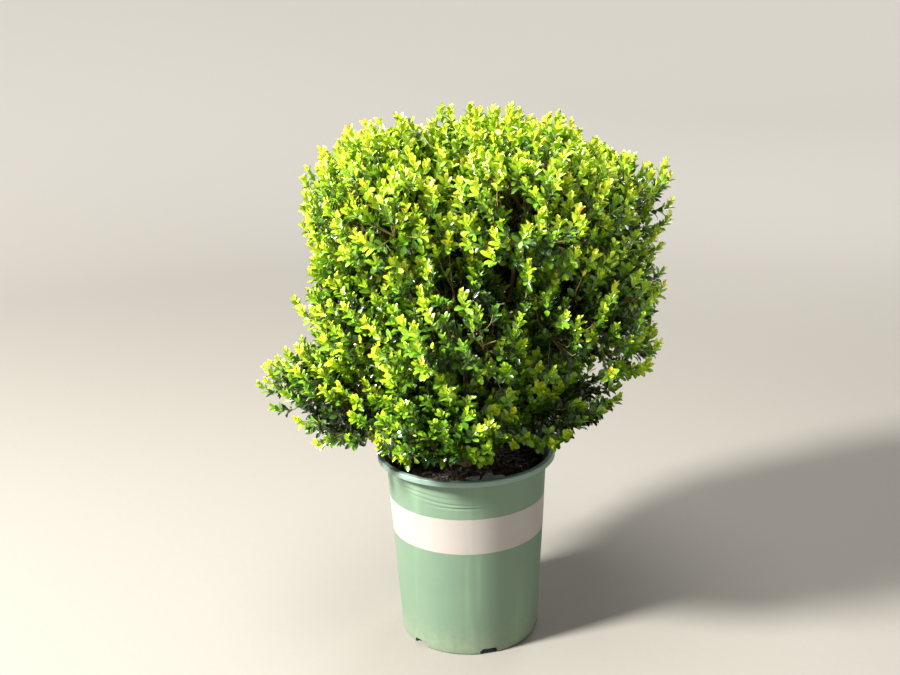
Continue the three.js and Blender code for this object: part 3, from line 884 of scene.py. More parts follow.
def make_masses():
    """Each mass with its middle, its size, where its bough springs from, and whether it is open."""
    draw = seeded_draw(CROWN_SEED)

    def shake(size):
        return (next(draw) * 2 - 1) * size

    made = []
    for ring, says in RINGS.items():
        spring = SPRINGS[ring]
        for k in range(says["count"]):
            name = f"{ring}_{k + 1}" if says["count"] > 1 else ring
            spray = name == LOW_SPRAY["mass"]
            height = says["height"] * MM
            out = LOW_SPRAY["out"] if spray else says["out"] * MM
            tall = LOW_SPRAY["tall"] if spray else says["tall"] * MM
            middle = around_pot(says["first"] + 360 * k / says["count"], out, height)
            middle[2] += LOW_SPRAY["lift"] * spray
            middle[0] += SHIFT * eased(height, SHIFT_FROM, SHIFT_TO)
            middle += np.array([shake(1), shake(1), shake(1)]) * PLACE_JITTER
            mass = dict(name=name, seed=len(made), middle=middle, open=name in OPEN_MASSES)
            mass["wide"] = says["wide"] * MM * (1 + shake(SIZE_JITTER))
            mass["tall"] = tall * (1 + shake(SIZE_JITTER))
            mass["spring"] = (spring["height"] + k % 2 * spring["step"]) * MM
            mass["rise"] = spring["rise"]
            made.append(mass)
    return made


MASSES = make_masses()
print(len(MASSES), "masses, from", MASSES[0]["name"], "to", MASSES[-1]["name"])

# %% [markdown]
# Neighbouring masses would grow through each other if each filled its whole egg shape. A point
# belongs to the mass whose middle is nearest, measured in that mass's own size, as cells share the
# room in foam. The space over the mix and the rim is kept free as well.

# %% The room of each mass
CLEARANCE = 3 * MM
POT_MOUTH = LIP_INNER - 14 * MM
PROBE_STEP, PROBES = 2 * MM, 80
MIDDLES = np.array([mass["middle"] for mass in MASSES])
REACHES = np.array([[mass["wide"], mass["wide"], mass["tall"]] for mass in MASSES])


def over_pot(points, margin):
    inside_mouth = np.hypot(points[..., 0], points[..., 1]) < POT_MOUTH
    return points[..., 2] - margin > np.where(inside_mouth, SOIL_TOP, POT_HEIGHT)


def in_space(mass, points, margin):
    """Whether each point lies in a mass's own space, and not nearer to the middle of another."""
    depths = np.linalg.norm((points[..., None, :] - MIDDLES) / REACHES, axis=-1)
    own = depths[..., mass["seed"]] + margin / mass["wide"]
    depths[..., mass["seed"]] = np.inf
    return (own < 1) & over_pot(points, margin) & (own < depths.min(-1))


def reach_from(mass, directions):
    """How far each direction runs from a mass's middle before it leaves the mass's space."""
    distances = np.arange(1, PROBES + 1) * PROBE_STEP
    points = mass["middle"] + directions[:, None, :] * distances[:, None]
    inside_mass = in_space(mass, points, CLEARANCE)
    return np.where(inside_mass.all(1), PROBES, inside_mass.argmin(1)) * PROBE_STEP


upward = [reach_from(mass, UP[None])[0] for mass in MASSES]
print("the masses reach", round(min(upward) / MM), "to", round(max(upward) / MM), "mm up")

# %% [markdown]
# A short stem stands just above the mix, and one bough springs from it to each mass. Real limbs
# have no straight runs or corners, so each follows a Bezier curve: it leaves the stem outward and
# upward, and enters its mass from below.

# %% The run of the limbs
GAP = 0.3 * MM
STEM_HEIGHT, STEM_LEAN = 92 * MM, 5 * MM
STEM_FOOT = np.array((0, 0, SOIL_TOP + GAP))
STEM_BEND = np.array((0, 0, SOIL_TOP + GAP + STEM_HEIGHT / 2))
STEM_HEAD = np.array((STEM_LEAN, 0, SOIL_TOP + GAP + STEM_HEIGHT))
STEM_NODES = (STEM_FOOT, STEM_BEND, STEM_HEAD)
BOUGH_HANDLE, BOUGH_ENTRY = 0.36, 0.86


def curve_point(nodes, share):
    """Points of a Bezier curve through its control points, at shares from 0 to 1."""
    share = np.asarray(share, float)[..., None]
    line = [np.asarray(node, float) for node in nodes]
    while len(line) > 1:
        line = [a + (b - a) * share for a, b in zip(line, line[1:], strict=False)]
    return line[0]


def curve_way(nodes, share):
    """Which way a Bezier curve runs at each share."""
    nodes = [np.asarray(node, float) for node in nodes]
    return unit(curve_point([b - a for a, b in zip(nodes, nodes[1:], strict=False)], share))


def bough_nodes(mass):
    share = mass["spring"] / STEM_HEIGHT
    start = curve_point(STEM_NODES, min(share, 1))
    inward = unit(STEM_HEAD - mass["middle"])
    end = mass["middle"] + inward * reach_from(mass, inward[None])[0] * BOUGH_ENTRY
    handle = np.linalg.norm(end - start) * BOUGH_HANDLE
    outward = unit((end - start) * (1, 1, 0))
    leaving = UP if share >= 1 else unit(outward + UP * mass["rise"])
    entering = unit(UP - inward)
    return start, start + leaving * handle, end - entering * handle, end


for mass in MASSES:
    mass["bough"] = bough_nodes(mass)
longest = max(np.linalg.norm(mass["bough"][-1] - mass["bough"][0]) for mass in MASSES)
print(len(MASSES), "boughs, the longest", round(longest / MM), "mm from end to end")

# %% [markdown]
# A box shrub's bark has fine cracks that run along the limb, its young wood is ridged, and small
# knots mark where twigs once were. A bump in the finish can't show that on a limb's outline, so the
# skin is pushed in and out by noise that is stretched along the limb. A bump only sharpens it.

# %% Relief of the bark
BARK_STRETCH, RIDGE_WAVE, CRACK_WAVE = 0.22, 5 * MM, 2.6 * MM
RIDGES, CRACKS, CRACKS_LEVEL = 0.6, 0.8, 0.4
CRACK_SEED = 50
KNOTS_APART, KNOT_PROUD, KNOT_SHARP = 23 * MM, 0.5, 8


def bark_skin(radius, share, turn, length, seed, relief):
    """The radius at each point of a limb, roughened by ridges, cracks and knots."""
    along = np.broadcast_to(share[:, None] * length * BARK_STRETCH, radius.shape)
    x, y = np.cos(turn)[None] * radius, np.sin(turn)[None] * radius
    skin = np.stack([x, y, along], axis=-1).reshape(-1, 3)
    ridges = rolling(skin, RIDGE_WAVE, seed)
    cracks = np.abs(rolling(skin, CRACK_WAVE, seed + CRACK_SEED))
    rough = ridges * RIDGES + cracks * CRACKS - CRACKS_LEVEL
    knots = np.sin(share * length / KNOTS_APART * 2 * math.pi + seed) ** KNOT_SHARP
    return radius + relief * rough.reshape(radius.shape) + (KNOT_PROUD * relief * knots)[:, None]


print("the bark's cracks stand", round(CRACK_WAVE / MM, 1), "mm apart")

# %% [markdown]
# A limb is a tube of rings laid along its curve. A bevelled curve would make one too, but its rings
# can't be roughened before they are joined. Each ring is turned as little as can be from the one
# below, so that the cracks run straight along the limb.

# %% A limb from its curve


def ring_frames(ways):
    """Two directions across a limb at each step, turned as little as can be from step to step."""
    first = np.cross(ways[0], (1, 0, 0) if abs(ways[0][0]) < 0.8 else (0, 1, 0))
    across = [unit(first)]
    for way in ways[1:]:
        across.append(unit(across[-1] - way * np.dot(across[-1], way)))
    across = np.array(across)
    return across, np.cross(ways, across)


def limb_faces(sides, steps):
    """Triangles of a tube whose last two points close its foot and its head."""
    k = np.arange(sides)
    after = (k + 1) % sides
    low = np.arange(steps)[:, None] * sides
    high = low + sides
    side = np.stack([low + k, low + after, high + after, high + k], -1).reshape(-1, 4)
    last = steps * sides
    foot = np.stack([after, k, np.full(sides, last + sides)], -1)
    head = np.stack([last + k, last + after, np.full(sides, last + sides + 1)], -1)
    return np.concatenate([side[:, [0, 1, 2]], side[:, [0, 2, 3]], foot, head])


def bark_limb(nodes, radius_at, sides, steps, seed, relief):
    """Points and faces of a closed tube along a curve, with the bark's relief."""
    share = np.linspace(0, 1, steps + 1)
    middle, ways = curve_point(nodes, share), curve_way(nodes, share)
    across, over = ring_frames(ways)
    turn = np.linspace(0, 2 * math.pi, sides, endpoint=False)
    length = np.linalg.norm(np.diff(middle, axis=0), axis=1).sum()
    smooth = radius_at(share[:, None], turn[None, :]) * np.ones((steps + 1, sides))
    radius = bark_skin(smooth, share, turn, length, seed, relief)
    points = middle[:, None] + across[:, None] * (np.cos(turn)[None, :, None] * radius[..., None])
    points = points + over[:, None] * (np.sin(turn)[None, :, None] * radius[..., None])
    points = np.concatenate([points.reshape(-1, 3), middle[:1], middle[-1:]])
    return points, limb_faces(sides, steps)


print("a limb of 8 sides and 2 steps has", len(limb_faces(8, 2)), "triangles")

# %% [markdown]
# The stem and all the boughs are one piece, as they are one wood. A Skin modifier could wrap them
# all, but it would give them neither cracks nor flutes. The stem swells where it meets the mix, and
# its sides are fluted there. The bark is tan, paler on its ridges, and grey in patches.

# %% Stem and boughs
STEM_THICK, STEM_NARROWS = 11.5 * MM, 3 * MM
FLARE, FLARE_HEIGHT, FLARE_FALL, FLARE_POWER = 5.5 * MM, 16 * MM, 3, 1.5
FLUTES, FLUTE_DEPTH = 4, 0.14
BOUGH_BASE, BOUGH_TIP = 5.2 * MM, 2.8 * MM
STEM_TUBE = dict(sides=64, steps=70, seed=5, relief=0.7 * MM)
BOUGH_TUBE = dict(sides=14, steps=56, relief=0.35 * MM)
BOUGH_SEED = 100


def stem_radius(share, turn):
    flare = np.exp(-FLARE_FALL * (share * STEM_HEIGHT / FLARE_HEIGHT) ** FLARE_POWER)
    thick = STEM_THICK - STEM_NARROWS * share + FLARE * flare
    return thick * (1 + FLUTE_DEPTH * flare * np.cos(FLUTES * turn))


def bough_radius(share, _turn):
    return BOUGH_BASE + (BOUGH_TIP - BOUGH_BASE) * share


def bark_finish():
    bark = Finish("tan_bark", roughness=0.85)
    along = bark.noise(scale=120, detail=6, stretch=(1, 1, 0.18))
    tan = bark.ramp(along, (0.3, 0x4A3826), (0.47, 0x80684C), (0.62, 0xA58D6C), (0.78, 0xC2B08F))
    grey = bark.steps(bark.noise(scale=38, detail=4), 0.5, 0.7)
    bark.set("Base Color", bark.blend(grey * 0.55, tan, linear(0x8B8675)))
    bark.bumps(along + bark.noise(scale=320, detail=4), depth=0.5 * MM)
    return bark


def joined(parts):
    """Several arrays of points and faces as one."""
    starts = np.cumsum([0] + [len(points) for points, _ in parts[:-1]])
    faces = [faces + start for (_, faces), start in zip(parts, starts, strict=True)]
    return np.concatenate([points for points, _ in parts]), np.concatenate(faces)


limbs = [bark_limb(STEM_NODES, stem_radius, **STEM_TUBE)]
for mass in MASSES:
    seed = BOUGH_SEED + mass["seed"]
    limbs.append(bark_limb(mass["bough"], bough_radius, seed=seed, **BOUGH_TUBE))
limb_nodes = ["stem"] + ["bough_" + mass["name"] for mass in MASSES]
settle(add_mesh("stem_and_boughs", *joined(limbs), [bark_finish()]), "bark", *limb_nodes)

# %% [markdown]
# The crown isn't evenly full. Looking straight at it, a dark cleft runs down right of the middle and
# smaller hollows lie beside it: leaves and shoots are left out there, and the wood inside shows. Its
# outline isn't even either. Both shoulders slope, the low right side is thin enough to see through,
# and a notch parts the crown from the low spray on the left. Each such place is an egg-shaped
# space. Leaves could be deleted there at the end, but that would leave bare stumps, so twigs and
# shoots that would end there don't grow at all. The leaves also keep clear of the pot's lip, by a
# cone that opens upward from it.

# %% Hollows, thin places and room over the pot
HOLLOWS = [
    dict(middle=(0.068, -0.20, 0.700), reach=(0.015, 0.11, 0.048), empties=0.95),
    dict(middle=(0.056, -0.20, 0.612), reach=(0.021, 0.10, 0.042), empties=0.9),
    dict(middle=(-0.018, -0.21, 0.622), reach=(0.028, 0.09, 0.036), empties=0.95),
    dict(middle=(0.018, -0.21, 0.548), reach=(0.030, 0.09, 0.030), empties=0.75),
    dict(middle=(0.096, -0.20, 0.538), reach=(0.032, 0.10, 0.034), empties=0.75),
    dict(middle=(0.015, -0.21, 0.465), reach=(0.038, 0.10, 0.036), empties=0.85),
    dict(middle=(0.146, -0.18, 0.600), reach=(0.011, 0.12, 0.055), empties=0.9),
]
THIN_PLACES = [
    dict(middle=(0.195, -0.05, 0.480), reach=(0.075, 0.30, 0.050), empties=0.5),
    dict(middle=(-0.290, -0.02, 0.525), reach=(0.085, 0.25, 0.045), empties=1.0),
    dict(middle=(-0.310, 0.00, 0.350), reach=(0.090, 0.30, 0.062), empties=1.0),
    dict(middle=(0.278, 0.00, 0.830), reach=(0.120, 0.30, 0.082), empties=1.0),
    dict(middle=(-0.270, 0.00, 0.825), reach=(0.115, 0.30, 0.068), empties=1.0),
    dict(middle=(0.340, 0.00, 0.475), reach=(0.062, 0.30, 0.080), empties=0.95),
]
RIM_ROOM, RIM_SLOPE = 28 * MM, 0.55
DROOP_FROM, DROOP_TO, DROOP = 60 * MM, 150 * MM, 0.75


def depth_in(place, points):
    """0 at the middle of a place and 1 on its surface."""
    return np.linalg.norm((points - place["middle"]) / place["reach"], axis=-1)


def left_empty(points, places, rng, within=1.0):
    """Whether each point falls in one of the places and is left out there."""
    empty = np.zeros(len(points), bool)
    for place in places:
        empty |= (depth_in(place, points) < within) & (rng.random(len(points)) < place["empties"])
    return empty


def clear_of_rim(points):
    """Whether each point clears the lip. The low spray on the left may hang nearer to it."""
    beyond = np.maximum(np.hypot(points[..., 0], points[..., 1]) - LIP_RADIUS, 0)
    left = np.clip((-points[..., 0] - DROOP_FROM) / (DROOP_TO - DROOP_FROM), 0, 1)
    return points[..., 2] > POT_HEIGHT + (RIM_ROOM + RIM_SLOPE * beyond) * (1 - DROOP * left)


print(len(HOLLOWS), "hollows and", len(THIN_PLACES), "thin places in the crown")

# %% [markdown]
# Twigs and shoots share the light by growing in different directions. Directions drawn at random
# would leave gaps and clumps. Many plants turn by the golden angle from each bud to the next, which
# spreads any number of them evenly, and so do these, round the way out of the crown.

# %% Directions by the golden turn
HEART = np.array((SHIFT, 0, 510 * MM))
GOLDEN_TURN = math.pi * (3 - math.sqrt(5))


def spread_directions(axis, count, widest, jitter, rng):
    """Directions spread evenly round an axis, out to the widest angle from it in degrees."""
    z = 1 - (1 - math.cos(math.radians(widest))) * (np.arange(count) + 0.5) / count
    level = np.sqrt(np.maximum(1 - z * z, 0))
    turn = np.arange(count) * GOLDEN_TURN + rng.uniform(0, 2 * math.pi)
    ways = np.stack([np.cos(turn) * level, np.sin(turn) * level, z], axis=-1)
    to_axis = np.array(Vector((0, 0, 1)).rotation_difference(Vector(axis)).to_matrix())
    return unit(ways @ to_axis.T + rng.uniform(-jitter, jitter, (count, 3)))


def way_out(mass):
    return unit(mass["middle"] - HEART)


print("the golden turn is", round(math.degrees(GOLDEN_TURN), 1), "degrees")

# %% [markdown]
# A stem carries on from each bough into its mass, as far as no thin place is near, and twigs leave
# it. A ready-made tree maker would fill its own outline, not this one. So each twig is given a
# target inside the mass, and leaves the stem where the slant is nearest to box's own. Two masses are
# open in habit, with fewer twigs that spread wider.

# %% Twigs inside each mass
FOLIAGE_SEED = 900
STEM_OVERLAP, STEM_BEND_SHARE, STEM_CLEAR, STEM_TRIES = 2 * MM, 0.5, 1.3, 16
FULL_HABIT = dict(twigs=24, twigs_widest=105, shoots=384, shoots_widest=128, leaders=0.17)
OPEN_HABIT = dict(twigs=16, twigs_widest=150, shoots=225, shoots_widest=150, leaders=0.4)
TWIG_JITTER, TWIG_REACH, TWIG_ROOM, LEAST_TWIG = 0.16, (0.75, 1), 42 * MM, 12 * MM
TWIG_STARTS = np.arange(0.06, 0.95, 0.04)
TWIG_SLANT = math.radians(50)
TWIG_BEND, TWIG_SWING = 0.4, 0.14
THIN_MARGIN = 1.25


def mass_stem(mass):
    """The curve that carries a bough on through its mass."""
    entering = curve_way(mass["bough"], 1.0)
    start = mass["bough"][-1] - entering * STEM_OVERLAP
    outward = way_out(mass)
    far = reach_from(mass, outward[None])[0] - TWIG_ROOM
    ends = mass["middle"] + outward * np.linspace(far, 0, STEM_TRIES)[:, None]
    clear = np.min([depth_in(place, ends) for place in THIN_PLACES], axis=0) > STEM_CLEAR
    end = ends[clear.argmax()] if clear.any() else ends[-1]
    return start, start + entering * np.linalg.norm(end - start) * STEM_BEND_SHARE, end


def twig_nodes(parent, target):
    """The curve of a twig from its parent to its target."""
    starts, ways = curve_point(parent, TWIG_STARTS), curve_way(parent, TWIG_STARTS)
    away = target - starts
    slant = np.arccos(np.clip((unit(away) * ways).sum(1), -1, 1))
    best = np.abs(slant - TWIG_SLANT).argmin()
    start, long = starts[best], np.linalg.norm(away[best])
    bend = start + (target - start) * TWIG_BEND + ways[best] * long * TWIG_SWING
    return start, bend, target


def grow_twigs(mass, rng):
    count, widest = mass["habit"]["twigs"], mass["habit"]["twigs_widest"]
    ways = spread_directions(way_out(mass), count, widest, TWIG_JITTER, rng)
    reaches = (reach_from(mass, ways) - TWIG_ROOM) * rng.uniform(*TWIG_REACH, count)
    targets = mass["middle"] + ways * np.maximum(reaches, LEAST_TWIG)[:, None]
    targets = targets[~left_empty(targets, THIN_PLACES, rng, within=THIN_MARGIN)]
    twigs = [twig_nodes(mass["stem"], target) for target in targets]
    return [twig for twig in twigs if in_space(mass, curve_point(twig, 0.5), CLEARANCE)]


for mass in MASSES:
    mass["habit"] = OPEN_HABIT if mass["open"] else FULL_HABIT
    mass["rng"] = np.random.default_rng(FOLIAGE_SEED + mass["seed"])
    mass["stem"] = mass_stem(mass)
    mass["twigs"] = grow_twigs(mass, mass["rng"])
print(sum(len(mass["twigs"]) for mass in MASSES), "twigs")

# %% [markdown]
# Short leafy shoots make the crown's surface. Most end near the outside of their mass, some are
# leaders that stand out from the rest, and a few fill the inside, so that nobody sees through the
# crown. Shoots could be grown from the twigs until they meet the outside, but then their tips would
# stand where chance leads them. The tips give the crown its outline, so they are placed first.

# %% Tips of the shoots
INNER_COUNT, INNER_WIDEST = 64, 180
SHOOT_JITTER, INNER_JITTER = 0.07, 0.1
LEADER_REACH, SHOOT_REACH, INNER_REACH = (0.95, 1.0), (0.5, 0.9), (0.2, 0.5)
LEAST_SHOOT = 24 * MM


def shoot_targets(mass, rng):
    """Where the shoots of a mass end, and how far out each end stands."""
    count, widest = mass["habit"]["shoots"], mass["habit"]["shoots_widest"]
    outer = spread_directions(way_out(mass), count, widest, SHOOT_JITTER, rng)
    inner = spread_directions(way_out(mass), INNER_COUNT, INNER_WIDEST, INNER_JITTER, rng)
    ways = np.concatenate([outer, inner])
    leader = rng.random(count) < mass["habit"]["leaders"]
    out = np.where(leader, rng.uniform(*LEADER_REACH, count), rng.uniform(*SHOOT_REACH, count))
    out = np.concatenate([out, rng.uniform(*INNER_REACH, INNER_COUNT)])
    reaches = reach_from(mass, ways)
    targets = mass["middle"] + ways * (reaches * out)[:, None]
    keep = (reaches > LEAST_SHOOT) & clear_of_rim(targets)
    keep &= ~left_empty(targets, HOLLOWS + THIN_PLACES, rng)
    return targets[keep], out[keep]


for mass in MASSES:
    mass["tips"] = shoot_targets(mass, mass["rng"])
print(sum(len(mass["tips"][0]) for mass in MASSES), "tips")

# %% [markdown]
# A shoot wants to point outward and up, the more upward the higher it stands. Every twig offers
# places to start from, and a shoot could take the nearest, but it would often leave backwards. So
# each start has a cost. The best one makes the shoot about five centimetres long, or seven for a
# leader, and lets it run nearly the way it wants to point.

# %% Shoots from the twigs
SHOOT_LENGTH, LEADER_LENGTH = 50 * MM, 74 * MM
MOST_SHOOT = 96 * MM
LOW_CLIMB, HIGH_CLIMB, CLIMB_FROM, CLIMB_TO = 0.8, 1.9, 0.36, 0.56
LEVELLED, WAY_JITTER = (1, 1, 0.4), 0.16
SHOOT_STARTS = np.linspace(0.1, 1, 16)
STRAIGHT_COST, SLANT_COST, SHORT_COST, START_SPREAD = 110 * MM, 15 * MM, 1, 14 * MM
BEND_BACK, BEND_ALONG = 0.45, 0.06


def growing_way(targets):
    """Where a shoot that ends at each target wants to point."""
    outward = unit((targets - HEART) * LEVELLED)
    high = np.clip((targets[:, 2] - CLIMB_FROM) / (CLIMB_TO - CLIMB_FROM), 0, 1)
    climb = LOW_CLIMB + (HIGH_CLIMB - LOW_CLIMB) * high
    return unit(outward + UP * climb[:, None])


def best_starts(parents, targets, wanted, usual, rng):
    """The best start for each shoot, and which way its twig runs there."""
    starts = np.concatenate([curve_point(parent, SHOOT_STARTS) for parent in parents])
    runs = np.concatenate([curve_way(parent, SHOOT_STARTS) for parent in parents])
    away = targets[:, None] - starts[None]
    long = np.linalg.norm(away, axis=-1)
    straight = (away * wanted[:, None]).sum(-1) / np.maximum(long, MM)
    slant = (away * runs[None]).sum(-1) / np.maximum(long, MM)
    cost = np.abs(long - usual[:, None])
    cost = cost + STRAIGHT_COST * (1 - straight) + SLANT_COST * (1 - slant)
    cost += np.where(long < LEAST_SHOOT, SHORT_COST, 0) + rng.uniform(0, START_SPREAD, cost.shape)
    best = cost.argmin(1)
    return starts[best], runs[best]


def grow_shoots(mass, rng):
    """Three arrays of control points, and how far out each tip stands."""
    targets, out = mass["tips"]
    wanted = unit(growing_way(targets) + rng.normal(0, WAY_JITTER, targets.shape))
    usual = np.where(out < LEADER_REACH[0], SHOOT_LENGTH, LEADER_LENGTH)
    start, run = best_starts([mass["stem"]] + mass["twigs"], targets, wanted, usual, rng)
    length = np.linalg.norm(targets - start, axis=-1, keepdims=True)
    bend = targets - wanted * length * BEND_BACK + run * length * BEND_ALONG
    keep = length[:, 0] < MOST_SHOOT
    return start[keep], bend[keep], targets[keep], out[keep]


for mass in MASSES:
    mass["shoots"] = grow_shoots(mass, mass["rng"])
print(sum(len(mass["shoots"][0]) for mass in MASSES), "leafy shoots")

# %% [markdown]
# The twigs are tan and woody, and the shoots that carry leaves are thin and greener. Each is a
# tapering tube of a few sides. A curve object with a bevel would do for one, but all the shoots of
# a mass have the same count of points, so they are worked out at once as one array.

# %% Twigs and shoots as tubes
MASS_STEM_TUBE = dict(base_radius=BOUGH_TIP, tip_radius=1.8 * MM, sides=8, steps=16)
TWIG_TUBE = dict(base_radius=1.8 * MM, tip_radius=1.1 * MM, sides=5, steps=7)
SHOOT_TUBE = dict(base_radius=1.0 * MM, tip_radius=0.6 * MM, sides=3, steps=2)
SIDE_WAY = (0.31, 0.95, 0.05)


def tubes(nodes, base_radius, tip_radius, sides, steps):
    """Pointed, tapering tubes along many curves, from three arrays of control points."""
    share = np.linspace(0, 1, steps + 1)
    line = [np.asarray(node)[:, None, :] for node in nodes]
    middle = curve_point(line, share[None, :])
    ways = curve_way(line, share[None, :])
    side = unit(np.cross(ways, SIDE_WAY))
    over = np.cross(ways, side)
    turn = np.linspace(0, 2 * math.pi, sides, endpoint=False)
    radius = (base_radius + (tip_radius - base_radius) * share)[None, :, None, None]
    rim = side[:, :, None] * np.cos(turn)[:, None] + over[:, :, None] * np.sin(turn)[:, None]
    rings = middle[:, :, None] + rim * radius
    tips = (middle[:, -1] + ways[:, -1] * tip_radius)[:, None]
    count, ring_points = len(middle), (steps + 1) * sides
    points = np.concatenate([rings.reshape(count, ring_points, 3), tips], axis=1)
    starts = np.arange(count)[:, None, None] * (ring_points + 1)
    faces = tube_faces(sides, steps)[None] + starts
    return points.reshape(-1, 3), faces.reshape(-1, 3)


def tube_faces(sides, steps):
    """Triangles of one tube whose last point is its tip."""
    k = np.arange(sides)
    after = (k + 1) % sides
    faces = []
    for low in range(0, steps * sides, sides):
        high = low + sides
        faces.append(np.stack([low + k, low + after, high + after], -1))
        faces.append(np.stack([low + k, high + after, high + k], -1))
    last = steps * sides
    faces.append(np.stack([last + k, last + after, np.full(sides, last + sides)], -1))
    return np.concatenate(faces)


twig_finish = Finish("tan_twig", base_color=linear(0x74522F), roughness=0.7)
shoot_finish = Finish("young_shoot", base_color=linear(0x83783A), roughness=0.6)
for mass in MASSES:
    stem = [node[None] for node in mass["stem"]]
    twigs = np.array(mass["twigs"]).swapaxes(0, 1)
    shoots = tubes(mass["shoots"][:3], **SHOOT_TUBE)
    woody = joined([tubes(stem, **MASS_STEM_TUBE), tubes(twigs, **TWIG_TUBE), shoots])
    young = np.arange(len(woody[1])) >= len(woody[1]) - len(shoots[1])
    piece = add_mesh("twigs_" + mass["name"], *woody, [twig_finish, shoot_finish], young)
    settle(piece, "bark", "foliage_" + mass["name"])

# %% [markdown]
# A box leaf is small, glossy and rounded, widest past its middle. Its edges turn up a little from
# the midrib and its tip curls down. A flat card with a picture of a leaf would be cheaper, but it
# has no outline of its own from the side. The blade here is eight triangles round one point on the
# midrib, and five bends of it are dealt out.

# %% The leaf's own shape
LEAF_LENGTH = 14 * MM
LEAF_SIDE = [(0.22, 0.155), (0.58, 0.27), (0.9, 0.165)]
LEAF_MIDDLE = 0.56
LEAF_BENDS = [(0.5, 0.12), (0.95, 0.2), (0.2, 0.3), (0.7, 0.02), (1.2, 0.14)]
CUP_DEPTH = 3


def leaf_shape(cup, curl):
    """Points of a leaf one unit long, from its foot at the origin along Y, with its top to +Z."""
    right = [(half, along) for along, half in LEAF_SIDE]
    left = [(-half, along) for half, along in reversed(right)]
    flat = [(0, 0)] + right + [(0, 1)] + left + [(0, LEAF_MIDDLE)]
    return np.array([(x, y, CUP_DEPTH * cup * x * x - curl * y * y) for x, y in flat])


LEAF_SHAPES = np.array([leaf_shape(cup, curl) for cup, curl in LEAF_BENDS])
RING_POINTS = LEAF_SHAPES.shape[1] - 1
LEAF_FACES = np.array([(k, (k + 1) % RING_POINTS, RING_POINTS) for k in range(RING_POINTS)])
print("a leaf has", len(LEAF_FACES), "triangles and is", round(LEAF_LENGTH / MM, 1), "mm long")

# %% [markdown]
# Each shoot is leafy from its tip down, as far as the light reaches. Leaves stand in opposite
# pairs, each pair turned a quarter round from the one below. Leaves scattered over the shoots would
# lose that order, so each pair is counted from its shoot's tip. Shoots deep inside carry fewer.

# %% Pairs of leaves
LEAFY_LENGTH, LEADER_LEAFY, LEAFY_SHARE = 41 * MM, 62 * MM, 0.9
LEAF_SPACING, INNER_SPACING, LEAST_PAIRS = 5.8 * MM, 8.5 * MM, 3
SPACING_JITTER, TURN_JITTER = (0.85, 1.15), 0.16
LOWEST_LEAF, HOLLOW_CORE = 0.02, 0.7


def leaf_pairs(mass, rng):
    """Where each pair stands: shoot, rank from the tip, place, way, turn, and its shoot's pairs."""
    start, bend, end, out = mass["shoots"]
    length = np.linalg.norm(end - start, axis=1)
    leafy = np.where(out < LEADER_REACH[0], LEAFY_LENGTH, LEADER_LEAFY)
    leafy = np.minimum(length * LEAFY_SHARE, leafy)
    apart = np.where(out < INNER_REACH[1], INNER_SPACING, LEAF_SPACING)
    pairs = np.maximum((leafy / apart).astype(int), LEAST_PAIRS)
    shoot = np.repeat(np.arange(len(start)), pairs)
    rank = np.concatenate([np.arange(n) for n in pairs])
    spacing = (leafy / pairs)[shoot] * rng.uniform(*SPACING_JITTER, len(shoot))
    share = np.clip(1 - rank * spacing / length[shoot], LOWEST_LEAF, 1)
    line = [node[shoot][:, None, :] for node in (start, bend, end)]
    base = curve_point(line, share[:, None])[:, 0]
    way = curve_way(line, share[:, None])[:, 0]
    turn = rng.uniform(0, 2 * math.pi, len(start))[shoot] + rank * math.pi / 2
    turn += rng.normal(0, TURN_JITTER, len(shoot))
    keep = clear_of_rim(base) & ~left_empty(base, HOLLOWS, rng, within=HOLLOW_CORE)
    return [each[keep] for each in (shoot, rank, base, way, turn, pairs[shoot])]


print("leaf pairs stand", round(LEAF_SPACING / MM, 1), "mm apart")

# %% [markdown]
# Leaves near the tip stand close to the shoot and are still small, and lower ones splay wider. All
# turn their tops towards the light, which comes from above and a little from the left. Each leaf
# gets a frame of three directions, across, along and facing, and all the leaves of a mass are one
# mesh.

# %% Leaves on the shoots
TIP_SPLAY, MOST_SPLAY, SPLAY_PAIRS, SPLAY_JITTER = 14, 45, 4, 9
LIGHTWARD, LIGHT_PULL, FACING_JITTER = np.array((-0.35, -0.25, 0.9)), 0.4, 0.2
LEAF_LIFT, LEAF_STAND_OFF = 0.08, 0.5 * MM
FIRST_PAIR, SECOND_PAIR, LAST_PAIR = 0.62, 0.86, 0.8
SIZE_SPREAD, WIDTH_SPREAD = (0.82, 1.16), (0.88, 1.14)


def leaf_frames(way, sideways, rank, rng):
    """Three directions for each leaf: across it, along it and out of its top."""
    opened = np.clip(rank / SPLAY_PAIRS, 0, 1)
    splay = TIP_SPLAY + (MOST_SPLAY - TIP_SPLAY) * opened + rng.normal(0, SPLAY_JITTER, len(rank))
    splay = np.radians(splay)[:, None]
    along = unit(way * np.cos(splay) + sideways * np.sin(splay) + UP * LEAF_LIFT)
    facing = way * np.sin(splay) - sideways * np.cos(splay)
    facing = facing + LIGHTWARD * LIGHT_PULL + rng.normal(0, FACING_JITTER, facing.shape)
    facing = unit(facing - along * (facing * along).sum(1, keepdims=True))
    return np.stack([np.cross(along, facing), along, facing], axis=-1)


def leaf_sizes(rank, pairs, rng):
    """Width, length and depth of each leaf: small at the shoot's tip and at its foot."""
    grown = np.where(rank == 0, FIRST_PAIR, np.where(rank == 1, SECOND_PAIR, 1.0))
    grown = grown * np.where(rank + 1 == pairs, LAST_PAIR, 1) * rng.uniform(*SIZE_SPREAD, len(rank))
    size = LEAF_LENGTH * grown
    return np.stack([size * rng.uniform(*WIDTH_SPREAD, len(rank)), size, size], axis=-1)


